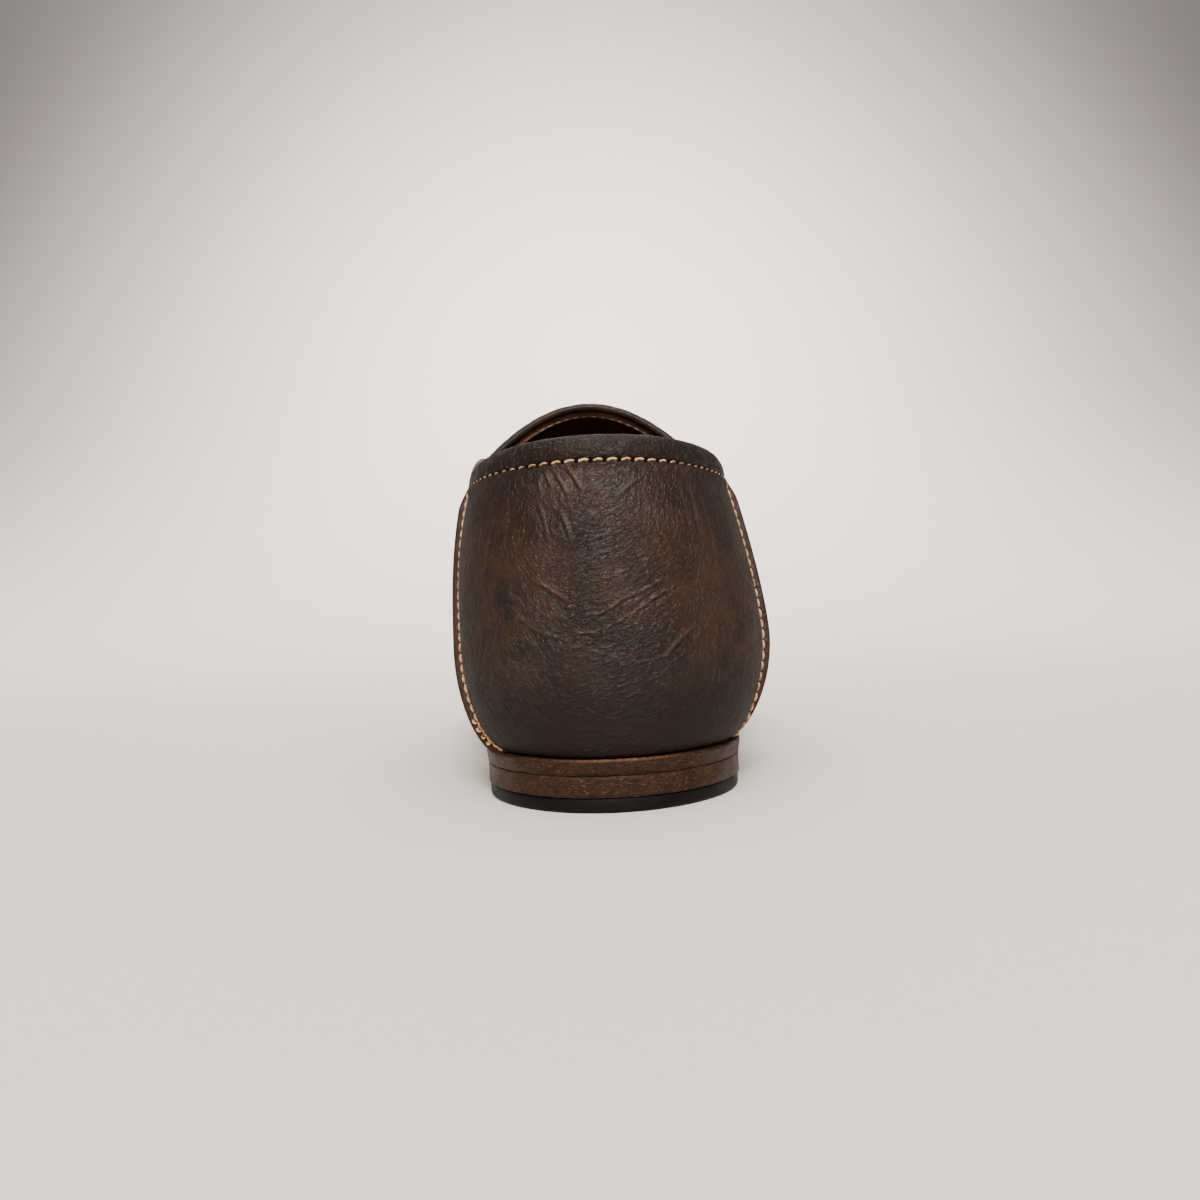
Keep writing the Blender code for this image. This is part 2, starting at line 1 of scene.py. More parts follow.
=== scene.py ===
"""Looks of the bit loafer for the right foot, seen from straight behind on a pale studio floor.

Sizes are in millimetres and meshes in metres. The heel points to -Y, the toe to +Y, the outer
(lateral) side of the foot to +X, and the floor is z = 0. While a piece is shaped, y is counted
from the back of the heel; Last.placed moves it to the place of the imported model.
"""

import logging
import math
from collections.abc import Callable
from dataclasses import dataclass, field
from enum import Enum
from functools import partial

import bpy
import numpy as np
from mathutils import Matrix, Vector
from mathutils.kdtree import KDTree


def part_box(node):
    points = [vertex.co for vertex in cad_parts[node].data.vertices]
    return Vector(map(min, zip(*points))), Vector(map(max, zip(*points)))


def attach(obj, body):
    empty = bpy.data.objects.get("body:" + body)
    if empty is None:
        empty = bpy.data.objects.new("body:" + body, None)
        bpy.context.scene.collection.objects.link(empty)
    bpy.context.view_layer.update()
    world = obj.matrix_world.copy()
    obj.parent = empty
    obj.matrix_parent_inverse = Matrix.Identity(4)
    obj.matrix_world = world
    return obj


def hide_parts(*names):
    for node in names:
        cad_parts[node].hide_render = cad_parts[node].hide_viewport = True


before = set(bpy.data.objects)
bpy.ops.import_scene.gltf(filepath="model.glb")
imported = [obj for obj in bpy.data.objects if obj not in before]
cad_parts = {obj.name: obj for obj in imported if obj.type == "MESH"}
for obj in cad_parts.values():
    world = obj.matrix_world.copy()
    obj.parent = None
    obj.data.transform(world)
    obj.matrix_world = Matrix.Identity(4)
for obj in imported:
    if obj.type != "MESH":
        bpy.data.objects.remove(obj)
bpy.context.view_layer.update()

MM = 0.001
LOG = logging.getLogger("bit_loafer")

Points = np.ndarray
Faces = list[tuple[int, ...]]


class Side(Enum):
    """Sides of the right foot, with the sign of their x."""

    LATERAL = 1.0
    MEDIAL = -1.0


class Line(Enum):
    """Lines from heel to toe that the form is stretched between, by their name in the tables."""

    SOLE = "sole"
    BELLY = "belly"
    TOP = "top"


# Sections from heel to toe: half widths from the centre line at the sole's edge, at the widest
# line (belly) and at the top edge, heights of belly and top edge, crown of the apron.
SECTION_COLUMNS = (
    "y", "centre", "sole_lateral", "sole_medial", "belly_lateral", "belly_medial", "belly_z",
    "top_lateral", "top_medial", "top_z", "crown",
)
SECTION_ROWS = (
    (0.0, -1.0, 28.6, 27.6, 35.4, 33.8, 36.0, 28.0, 29.4, 78.4, 19.0),
    (50.0, 0.0, 30.5, 29.4, 37.4, 35.6, 34.0, 28.6, 31.2, 77.4, 19.0),
    (80.0, -0.3, 31.0, 28.4, 39.6, 38.6, 34.0, 29.8, 35.2, 79.4, 19.0),
    (107.0, -1.2, 33.5, 28.8, 42.6, 41.2, 32.0, 29.6, 34.0, 86.0, 19.0),
    (135.0, -0.4, 38.5, 33.5, 45.2, 43.8, 29.0, 30.4, 33.0, 77.0, 18.5),
    (165.0, 0.5, 43.5, 40.5, 48.2, 47.0, 24.5, 33.0, 34.0, 64.0, 15.5),
    (195.0, 0.3, 46.0, 44.6, 49.6, 49.2, 21.5, 33.5, 34.5, 52.8, 11.0),
    (225.0, -1.2, 45.2, 45.4, 48.2, 48.6, 21.0, 32.0, 33.0, 44.8, 6.5),
    (255.0, -3.6, 40.0, 42.0, 42.6, 44.6, 23.5, 27.5, 29.0, 40.6, 3.0),
    (288.0, -7.0, 33.0, 36.0, 35.0, 38.0, 27.0, 22.0, 23.5, 38.0, 0.5),
)
SECTION = {name: np.array(column) for name, column in zip(SECTION_COLUMNS, zip(*SECTION_ROWS))}
# Where each line starts and ends, and how far its round heel and toe reach
END_COLUMNS = ("back", "heel_reach", "front", "toe_reach")
ENDS = {
    Line.SOLE: dict(zip(END_COLUMNS, (3.0, 38.0, 284.5, 44.0))),
    Line.BELLY: dict(zip(END_COLUMNS, (0.0, 43.0, 288.0, 46.0))),
    Line.TOP: dict(zip(END_COLUMNS, (6.0, 46.0, 266.0, 36.0))),
}


# ---------------------------------------------------------------- curves and meshes


def spline(knots: np.ndarray, values: np.ndarray, at: np.ndarray) -> np.ndarray:
    """Natural cubic spline through a short table.

    Args:
        knots: places of the table's rows, rising.
        values: one value a row.
        at: places to read.

    Returns:
        The spline's values at these places.
    """
    count = len(knots)
    step = np.diff(knots)
    system = np.eye(count)
    right = np.zeros(count)
    for i in range(1, count - 1):
        system[i, i - 1:i + 2] = step[i - 1], 2 * (step[i - 1] + step[i]), step[i]
        right[i] = 6 * np.diff(np.diff(values[i - 1:i + 2]) / step[i - 1:i + 1])[0]
    bend = np.linalg.solve(system, right)
    i = np.clip(np.searchsorted(knots, at) - 1, 0, count - 2)
    a = (knots[i + 1] - at) / step[i]
    b = 1 - a
    straight = a * values[i] + b * values[i + 1]
    return straight + ((a**3 - a) * bend[i] + (b**3 - b) * bend[i + 1]) * step[i] ** 2 / 6


def smoothstep(value: np.ndarray) -> np.ndarray:
    """Ease from 0 to 1 with level ends."""
    t = np.clip(value, 0, 1)
    return t * t * (3 - 2 * t)


def nearest(points: Points, line: Points) -> np.ndarray:
    """Distance from each point to the nearest point of a line."""
    tree = KDTree(len(line))
    for number, point in enumerate(line):
        tree.insert(point, number)
    tree.balance()
    return np.array([tree.find(point)[2] for point in points.reshape(-1, 3)]).reshape(points.shape[:-1])


def bell(distance: np.ndarray, width: float) -> np.ndarray:
    """Soft bump of height 1 that fades at about the given width."""
    return np.exp(-((distance / width) ** 2))


def unit(vectors: np.ndarray) -> np.ndarray:
    """Vectors scaled to length 1; a vector of no length stays so."""
    return vectors / np.maximum(np.linalg.norm(vectors, axis=-1, keepdims=True), 1e-9)


def share_at(place: np.ndarray) -> np.ndarray:
    """Share of the length for a place from 0 to 1 that is dense at the round heel and toe."""
    return (1 - np.cos(math.pi * place)) / 2


def place_at(share: np.ndarray) -> np.ndarray:
    """Opposite of share_at."""
    return np.arccos(1 - 2 * share) / math.pi


def arc_length(path: Points) -> np.ndarray:
    """Way along a path of points up to each of them."""
    return np.concatenate([[0.0], np.cumsum(np.linalg.norm(np.diff(path, axis=0), axis=1))])


def read(at: np.ndarray, knots: np.ndarray, values: Points) -> Points:
    """Points read between the rows of a table."""
    return np.stack([np.interp(at, knots, values[:, k]) for k in range(values.shape[1])], axis=-1)


def walk(path: Points, at: np.ndarray) -> Points:
    """Points at given ways along a path."""
    return read(at, arc_length(path), path)


def even(path: Points, step: float) -> Points:
    """The same path with points about one step apart."""
    total = arc_length(path)[-1]
    return walk(path, np.linspace(0, total, max(2, round(total / step) + 1)))


def eased(path: Points, reach: int) -> Points:
    """Path with its corners rounded over a number of points; its ends stay."""
    kernel = np.hanning(2 * reach + 1)
    padded = np.concatenate([2 * path[0] - path[reach:0:-1], path, 2 * path[-1] - path[-2:-reach - 2:-1]])
    columns = [np.convolve(padded[:, k], kernel / kernel.sum(), "valid") for k in range(path.shape[1])]
    return np.stack(columns, axis=-1)


def grid_normals(grid: Points) -> Points:
    """Unit normals of a grid of points, towards columns cross rows."""
    return unit(np.cross(np.gradient(grid, axis=1), np.gradient(grid, axis=0)))


def grid_way(grid: Points, axis: int) -> np.ndarray:
    """Way along the rows (axis 0) or columns (axis 1) of a grid, from its first point."""
    step = np.linalg.norm(np.diff(grid, axis=axis), axis=-1)
    start = np.zeros_like(np.take(step, [0], axis))
    return np.concatenate([start, np.cumsum(step, axis=axis)], axis=axis)


def round_toe(lateral: np.ndarray, medial: np.ndarray, axis: int = 0) -> np.ndarray:
    """Values from the lateral seam round the toe to the medial one, from those of each side up to the toe."""
    back = np.flip(np.take(medial, range(medial.shape[axis] - 1), axis), axis)
    return np.concatenate([lateral, back], axis=axis)


def raised(grid: Points, normals: Points, height: np.ndarray | float) -> Points:
    """Points moved along their normals by a height."""
    return grid + normals * np.broadcast_to(height, grid.shape[:-1])[..., None]


def grid_faces(rows: int, columns: int, rows_closed: bool, columns_closed: bool) -> Faces:
    """Quads of a grid of points.

    Args:
        rows: number of rows.
        columns: number of columns.
        rows_closed: the last row joins the first.
        columns_closed: the last column joins the first.

    Returns:
        Faces with normals towards columns cross rows.
    """
    low = np.arange(rows if rows_closed else rows - 1)[:, None]
    left = np.arange(columns if columns_closed else columns - 1)[None]
    high = (low + 1) % rows
    right = (left + 1) % columns
    corners = (low * columns + left, low * columns + right, high * columns + right, high * columns + left)
    return [tuple(face) for face in np.stack([c.ravel() for c in corners], axis=1).tolist()]


def loft(grid: Points) -> tuple[Points, Faces]:
    """Closed piece whose columns are closed loops, with a face at each end.

    Args:
        grid: points, rows round the loop by columns along the piece.

    Returns:
        Points and faces.
    """
    rows, columns = grid.shape[:2]
    faces = grid_faces(rows, columns, True, False)
    first = tuple(r * columns for r in range(rows))
    last = tuple(r * columns + columns - 1 for r in reversed(range(rows)))
    return grid.reshape(-1, 3), faces + [first, last]


def turned_loft(grid: Points) -> tuple[Points, Faces]:
    """Loft of loops that may run either way round; its normals point out."""
    middle = grid[:, grid.shape[1] // 2]
    along = grid[:, grid.shape[1] // 2 + 1] - middle
    turned = np.cross(along, np.roll(middle, -1, axis=0) - middle)
    inside_out = (turned * (middle - middle.mean(axis=0))).sum() < 0
    return loft(grid[::-1] if inside_out else grid)


def thick_sheet(outer: Points, inner: Points) -> tuple[Points, Faces]:
    """Closed piece between two grids of equal size, joined round their rims.

    Args:
        outer: grid whose normals, columns cross rows, point out.
        inner: grid on the other face.

    Returns:
        Points and faces: the outer face's first, then the inner face's, then the rim's.
    """
    rows, columns = outer.shape[:2]
    count = rows * columns
    face = grid_faces(rows, columns, False, False)
    back = [tuple(count + i for i in reversed(quad)) for quad in face]
    low = list(range(columns))
    right = list(range(columns - 1, count, columns))
    high = list(range(count - 1, count - columns - 1, -1))
    left = list(range(count - columns, -1, -columns))
    loop = low + right[1:] + high[1:] + left[1:-1]
    rim = [(b, a, a + count, b + count) for a, b in zip(loop, loop[1:] + loop[:1])]
    return np.concatenate([outer.reshape(-1, 3), inner.reshape(-1, 3)]), face + back + rim


def stack(rings: list[Points]) -> tuple[Points, Faces]:
    """Closed piece through loops from the lowest to the highest, capped by strips side to side.

    Args:
        rings: loops of equal, even length, symmetric about their first point.

    Returns:
        Points and faces.
    """
    loop = len(rings[0])
    sides = grid_faces(len(rings), loop, False, True)
    strips = [(i, i + 1, (loop - i - 1) % loop, (loop - i) % loop) for i in range(loop // 2)]
    base = [tuple(dict.fromkeys(strip)) for strip in strips]
    lid = [tuple((len(rings) - 1) * loop + i for i in strip) for strip in base]
    return np.concatenate(rings), sides + lid + [tuple(reversed(strip)) for strip in base]


def tube(path: Points, first: Points, second: Points, radii: np.ndarray, sides: int) -> Points:
    """Rings of a round tube.

    Args:
        path: middle line.
        first: one direction of each ring.
        second: the other direction of each ring.
        radii: radius at each point, or at each point and side.
        sides: points of a ring.

    Returns:
        Grid of points, rows round the ring by columns along the path.
    """
    turn = np.linspace(0, 2 * math.pi, sides, endpoint=False)[:, None, None]
    circle = np.cos(turn) * first + np.sin(turn) * second
    return path + circle * np.broadcast_to(radii, circle.shape[:2])[..., None]


def joined(parts: list[tuple[Points, Faces]]) -> tuple[Points, Faces]:
    """Several closed shapes as the points and faces of one piece."""
    points: list[Points] = []
    faces: Faces = []
    count = 0
    for part_points, part_faces in parts:
        faces += [tuple(i + count for i in face) for face in part_faces]
        points.append(part_points)
        count += len(part_points)
    return np.concatenate(points), faces


def new_object(name: str, data: bpy.types.ID) -> bpy.types.Object:
    """Add an object to the scene."""
    made = bpy.data.objects.new(name, data)
    bpy.context.scene.collection.objects.link(made)
    return made


def new_mesh(name: str, points: Points, faces: Faces) -> bpy.types.Mesh:
    """Mesh of points in metres and faces, shaded smooth."""
    mesh = bpy.data.meshes.new(name)
    mesh.from_pydata(points.tolist(), [], faces)
    mesh.shade_smooth()
    return mesh


def set_marks(mesh: bpy.types.Mesh, marks: dict[str, object]) -> None:
    """Store values on a mesh's points under their names: one number a point, or three."""
    for name, values in marks.items():
        vector = np.ndim(values) == 2
        data = mesh.attributes.new(name, "FLOAT_VECTOR" if vector else "FLOAT", "POINT").data
        full = np.broadcast_to(values, (len(data), 3) if vector else len(data))
        data.foreach_set("vector" if vector else "value", full.astype(np.float32).ravel())


# ---------------------------------------------------------------- the last


@dataclass(frozen=True)
class Last:
    """The shoe's form: a wall from sole to top edge on each side, and the apron over the toes."""

    shift: tuple[float, float, float] = (0.0, 0.0, 0.0)
    gap: float = 0.3
    outsole: float = 3.3
    heel_rise: float = 7.7
    breast_y: float = 66.0
    shank_end_y: float = 158.0
    tread_end_y: float = 204.0
    toe_spring: float = 8.5
    wall_thick: float = 2.0
    feather_inset: float = 1.6
    belly_rise: float = 0.4
    tuck: tuple[float, float] = (1.3, 1.45)  # lateral, medial
    lean_heel: tuple[float, float] = (1.3, 3.2)
    lean_toe: float = 2.1
    side_blend: float = 0.06
    seam_share: float = 0.14
    seam_slant: float = 0.04
    seam_spread: float = 0.13
    seam_sweep: tuple[float, float] = (0.15, 0.5)
    sweep_reach: float = 0.25
    collar_share: float = 0.085
    front_dip: float = 0.045
    throat_y: float = 107.0
    tongue_bow: float = 9.0
    tongue_fade: float = 60.0

    @classmethod
    def in_frame(cls) -> "Last":
        """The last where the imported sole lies; the sole's heel and inner edge tell the place."""
        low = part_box("outsole")[0]
        raw = cls()
        inner, _ = raw.edge_line(Line.SOLE, Side.MEDIAL, share_at(np.linspace(0, 1, 40)))
        return cls(shift=(low[0] / MM - inner.min(), low[1] / MM - ENDS[Line.SOLE]["back"], 0.0))

    @staticmethod
    def pick(pair: tuple[float, float], side: Side) -> float:
        """The lateral or the medial value of a pair."""
        return pair[0] if side is Side.LATERAL else pair[1]

    @staticmethod
    def section(name: str, y: np.ndarray) -> np.ndarray:
        """One column of the section table at a distance from the heel."""
        return spline(SECTION["y"], SECTION[name], y)

    def placed(self, points: Points) -> Points:
        """Points in metres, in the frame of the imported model."""
        return (points + np.array(self.shift)) * MM

    def top_share(self, y: float) -> float:
        """Share of the top line's length at a distance from the heel."""
        ends = ENDS[Line.TOP]
        return (y - ends["back"]) / (ends["front"] - ends["back"])

    def edge_line(self, line: Line, side: Side, share: np.ndarray, inset: float = 0.0) -> tuple:
        """Plan of one line on one side.

        Args:
            line: sole, belly or top line.
            side: side of the shoe.
            share: share of the length from heel to toe.
            inset: distance inside the line.

        Returns:
            The x and the y of the line.
        """
        ends = ENDS[line]
        back = ends["back"] + inset
        front = ends["front"] - inset
        y = back + (front - back) * share
        heel = 1 - np.clip((y - back) / ends["heel_reach"], 0, 1)
        toe = 1 - np.clip((front - y) / ends["toe_reach"], 0, 1)
        half = self.section(f"{line.value}_{side.name.lower()}", y) - inset
        return self.section("centre", y) + side.value * half * np.sqrt((1 - heel**2) * (1 - toe**2)), y

    def sole_bottom(self, y: np.ndarray) -> np.ndarray:
        """Underside of the outsole: level heel, shank, flat tread and toe spring."""
        way = (y - self.breast_y) / (self.shank_end_y - self.breast_y)
        spring = np.clip((y - self.tread_end_y) / (ENDS[Line.SOLE]["front"] - self.tread_end_y), 0, 1)
        return self.heel_rise * (1 - smoothstep(way)) + self.toe_spring * spring**2

    def sole_loop(self, count: int, inset: float, height: float) -> Points:
        """Loop along the sole's outline, at a height above the underside."""
        share = share_at(np.linspace(0, 1, count))
        sides = []
        for side in Side:
            x, y = self.edge_line(Line.SOLE, side, share, inset)
            sides.append(np.stack([x, y, self.sole_bottom(y) + height], axis=-1))
        return round_toe(*sides)[:-1]

    def slanted(self, side: Side, share: np.ndarray, rise: np.ndarray) -> np.ndarray:
        """Tilt the columns near the side seam so that its head lies ahead of its foot."""
        bump = np.clip(1 - ((share - self.seam_share) / self.seam_spread) ** 2, 0, 1) ** 2
        tilted = share + self.seam_slant * (rise - 0.5) * bump
        sweep = self.pick(self.seam_sweep, side) * np.clip(1 - rise / self.belly_rise, 0, 1) ** 2
        return tilted * (1 - sweep * bell(tilted - self.seam_share, self.sweep_reach))

    def side_value(self, pair: tuple[float, float], side: Side, share: np.ndarray) -> np.ndarray:
        """Value of one side, easing to the mean of both where the sides meet at heel and toe."""
        mean = sum(pair) / 2
        apart = smoothstep(share / self.side_blend) * smoothstep((1 - share) / self.side_blend)
        return mean + (self.pick(pair, side) - mean) * apart

    def wall(self, side: Side, share: np.ndarray, rise: np.ndarray) -> Points:
        """Points of the wall.

        Args:
            side: side of the shoe.
            share: from 0 at the heel to 1 at the toe.
            rise: from 0 at the sole to 1 at the top edge.

        Returns:
            Points in millimetres.
        """
        share, rise = np.broadcast_arrays(share, rise)
        share = self.slanted(side, share, rise)
        foot_x, foot_y = self.edge_line(Line.SOLE, side, share, self.feather_inset)
        belly_x, belly_y = self.edge_line(Line.BELLY, side, share)
        top_x, top_y = self.edge_line(Line.TOP, side, share)
        foot_z = self.sole_bottom(foot_y) + self.outsole + self.gap
        belly_z = self.section("belly_z", belly_y)
        top_z = self.section("top_z", top_y)
        turn = np.clip(rise / self.belly_rise, 0, 1) * math.pi / 2
        climb = np.clip((rise - self.belly_rise) / (1 - self.belly_rise), 0, 1)
        swell = np.sin(turn) ** self.side_value(self.tuck, side, share)
        at_heel = self.side_value(self.lean_heel, side, share)
        lean = climb ** (at_heel + (self.lean_toe - at_heel) * share)
        x = foot_x + (belly_x - foot_x) * swell + (top_x - belly_x) * lean
        y = foot_y + (belly_y - foot_y) * swell + (top_y - belly_y) * lean
        z = foot_z + (belly_z - foot_z) * (1 - np.cos(turn)) + (top_z - belly_z) * climb
        return np.stack([x, y, z], axis=-1)

    def round_heel(self, end: float, columns: int, rise: np.ndarray) -> Points:
        """Grid of the wall from the medial side round the heel to the lateral one.

        Args:
            end: share of the length at which it ends on both sides.
            columns: number of columns, an odd one.
            rise: share of the wall's height of each row.

        Returns:
            Grid of points in millimetres.
        """
        half = share_at(np.linspace(0, place_at(end), columns // 2 + 1))
        lateral, medial = (self.wall(side, half[None], rise[:, None]) for side in Side)
        return np.concatenate([medial[:, :0:-1], lateral], axis=1)

    def apron(self, share: np.ndarray, across: np.ndarray) -> Points:
        """Points of the apron and tongue.

        Args:
            share: from heel to toe.
            across: from 1 at the lateral seam to -1 at the medial one.

        Returns:
            Points in millimetres.
        """
        share, across = np.broadcast_arrays(share, across)
        lateral = self.wall(Side.LATERAL, share, np.ones_like(share))
        medial = self.wall(Side.MEDIAL, share, np.ones_like(share))
        y = lateral[..., 1]
        bow = self.tongue_bow * np.clip(1 - (y - self.throat_y) / self.tongue_fade, 0, 1) ** 2
        crown = self.section("crown", y) * (1 - across**2)
        x = (lateral[..., 0] * (1 + across) + medial[..., 0] * (1 - across)) / 2
        return np.stack([x, y + bow * (1 - across**2), lateral[..., 2] + crown], axis=-1)

    def front_rise(self, share: np.ndarray) -> np.ndarray:
        """Share of the wall's height that the front piece reaches from side seam to throat."""
        way = np.clip((share - self.seam_share) / (self.top_share(self.throat_y) - self.seam_share), 0, 1)
        return 1 - self.front_dip * (1 - way) ** 2

    def ridge_direction(self, side: Side, share: np.ndarray) -> Points:
        """Direction in which the raised apron seam stands up, between wall and apron."""
        step = 0.002
        edge = self.wall(side, share, np.ones_like(share))
        along = self.wall(side, np.minimum(share + step, 1), 1.0) - self.wall(side, share - step, 1.0)
        down = edge - self.wall(side, share, 1.0 - 5 * step)
        inward = self.apron(share, np.full_like(share, side.value * (1 - 5 * step))) - edge
        wall_normal = unit(np.cross(along, down) * side.value)
        apron_normal = unit(np.cross(along, inward) * side.value)
        return unit(wall_normal + apron_normal)


# ---------------------------------------------------------------- finishes


def linear(colour: str) -> tuple[float, float, float, float]:
    """Linear red, green, blue and alpha of an sRGB hex colour."""
    parts = [int(colour[i:i + 2], 16) / 255 for i in (1, 3, 5)]
    return (*(p / 12.92 if p <= 0.04045 else ((p + 0.055) / 1.055) ** 2.4 for p in parts), 1.0)


Socket = bpy.types.NodeSocket
NodeAdder = Callable[..., Socket]  # add_node with its tree given
EASED_INPUTS = ("Value", "From Min", "From Max", "To Min", "To Max")
# Nodes by a short name: Blender's name, inputs in order, output (None: all of them) and settings
NODES: dict[str, tuple] = {
    "place": ("ShaderNodeTexCoord", (), "Object", {}),
    "mark": ("ShaderNodeAttribute", (), "Fac", {}),
    "mark_vector": ("ShaderNodeAttribute", (), "Vector", {}),
    "scaled": ("ShaderNodeVectorMath", (0, "Scale"), 0, {"operation": "SCALE"}),
    "product": ("ShaderNodeVectorMath", (0, 1), 0, {"operation": "MULTIPLY"}),
    "distance": ("ShaderNodeVectorMath", (0, 1), "Value", {"operation": "DISTANCE"}),
    "split": ("ShaderNodeSeparateXYZ", (0,), None, {}),
    "vector": ("ShaderNodeCombineXYZ", (0, 1, 2), 0, {}),
    "math": ("ShaderNodeMath", (0, 1, 2), 0, {}),
    "eased": ("ShaderNodeMapRange", EASED_INPUTS, "Result", {"interpolation_type": "SMOOTHSTEP"}),
    "mix": ("ShaderNodeMix", (0, 6, 7), 2, {"data_type": "RGBA"}),
    "mapped": ("ShaderNodeMapping", ("Vector", "Scale", "Rotation", "Location"), 0, {"vector_type": "TEXTURE"}),
    "noise": ("ShaderNodeTexNoise", ("Vector", "Scale", "Detail", "Roughness", "Distortion"), "Fac", {}),
    "cells": ("ShaderNodeTexVoronoi", ("Vector", "Scale"), "Distance", {}),
    "bump": ("ShaderNodeBump", ("Height", "Strength", "Distance"), "Normal", {}),
    "given": ("NodeGroupInput", (), None, {}),
    "attribute": ("GeometryNodeInputNamedAttribute", ("Name",), 0, {"data_type": "FLOAT_VECTOR"}),
    "turned": (
        "FunctionNodeAxesToRotation", ("Primary Axis", "Secondary Axis"), 0,
        {"primary_axis": "X", "secondary_axis": "Z"},
    ),
    "random": ("FunctionNodeRandomValue", (2, 3, "Seed"), 1, {"data_type": "FLOAT"}),
    "object": ("GeometryNodeObjectInfo", ("Object",), "Geometry", {}),
    "on_points": ("GeometryNodeInstanceOnPoints", ("Points", "Instance", "Rotation", "Scale"), 0, {}),
    "realized": ("GeometryNodeRealizeInstances", (0,), 0, {}),
    "dressed": ("GeometryNodeSetMaterial", ("Geometry", "Material"), 0, {}),
    "result": ("NodeGroupOutput", (0,), None, {}),
}


def feed(tree: bpy.types.NodeTree, socket: Socket, value: object) -> None:
    """Link an output to an input socket, or set the socket to a value or to a hex colour."""
    if isinstance(value, Socket):
        tree.links.new(value, socket)
    else:
        coloured = isinstance(value, str) and value.startswith("#")
        socket.default_value = linear(value) if coloured else value


def add_node(tree: bpy.types.NodeTree, kind: str, *values: object, **settings: object) -> Socket:
    """Add a node with its settings and links.

    Args:
        tree: the node tree.
        kind: short name of the node.
        *values: value, hex colour or output socket for each input, in order.
        **settings: the node's own fields.

    Returns:
        Its output socket, or all of them where the table names none.
    """
    name, inputs, output, fixed = NODES[kind]
    node = tree.nodes.new(name)
    for key, value in {**fixed, **settings}.items():
        setattr(node, key, value)
    for key, value in zip(inputs, values):
        feed(tree, node.inputs[key], value)
    return node.outputs if output is None else node.outputs[output]


def added(node: NodeAdder, *terms: tuple[object, object]) -> Socket:
    """Sum of products of two values each."""
    total: object = 0.0
    for value, weight in terms:
        total = node("math", value, weight, total, operation="MULTIPLY_ADD")
    return total


def cloud(
    node: NodeAdder, spot: Socket, size: tuple, detail: float = 3.0, seed: float = 0.0, lean: float = 0.0,
) -> Socket:
    """Soft noise.

    Args:
        node: adds a node.
        spot: place in millimetres.
        size: size of its patches in millimetres, along x, y and z.
        detail: number of finer layers.
        seed: moves the pattern.
        lean: turns the pattern's x from level towards z, in degrees.

    Returns:
        Socket with values about 0.5.
    """
    mapped = node("mapped", spot, size, (0.0, -math.radians(lean), 0.0), (seed,) * 3)
    return node("noise", mapped, 1.0, detail, 0.55, 0.3)


def veins(node: NodeAdder, spot: Socket, size: tuple, width: float, seed: float, lean: float) -> Socket:
    """Thin wandering ridges where soft noise crosses its middle.

    Args:
        node: adds a node.
        spot: place in millimetres.
        size: size of the noise's patches in millimetres.
        width: how far off the noise's middle a ridge reaches.
        seed: moves the pattern.
        lean: turns the pattern, in degrees.

    Returns:
        Socket with 1 on a ridge and 0 beside it.
    """
    off = node("math", cloud(node, spot, size, 2.0, seed, lean), 0.5, operation="SUBTRACT")
    return node("eased", node("math", off, operation="ABSOLUTE"), 0.0, width, 1.0, 0.0)


@dataclass(frozen=True)
class Finish:
    """A material; each kind paints what its shader gets."""

    name: str

    def paint(self, node: NodeAdder, spot: Socket) -> dict[str, object]:
        """Sockets and constant values of the shader's inputs; spot is the place in millimetres."""
        raise NotImplementedError

    def make(self) -> bpy.types.Material:
        """The material."""
        made = bpy.data.materials.new(self.name)
        made.use_nodes = True
        tree = made.node_tree
        node = partial(add_node, tree)
        spot = node("scaled", node("place"), 1 / MM)
        for key, value in self.paint(node, spot).items():
            feed(tree, tree.nodes["Principled BSDF"].inputs[key], value)
        return made


# Leans of the leather's wrinkles, in degrees from level; the mark lie gives the share of each
LEANS = (15.0, 75.0, 135.0)


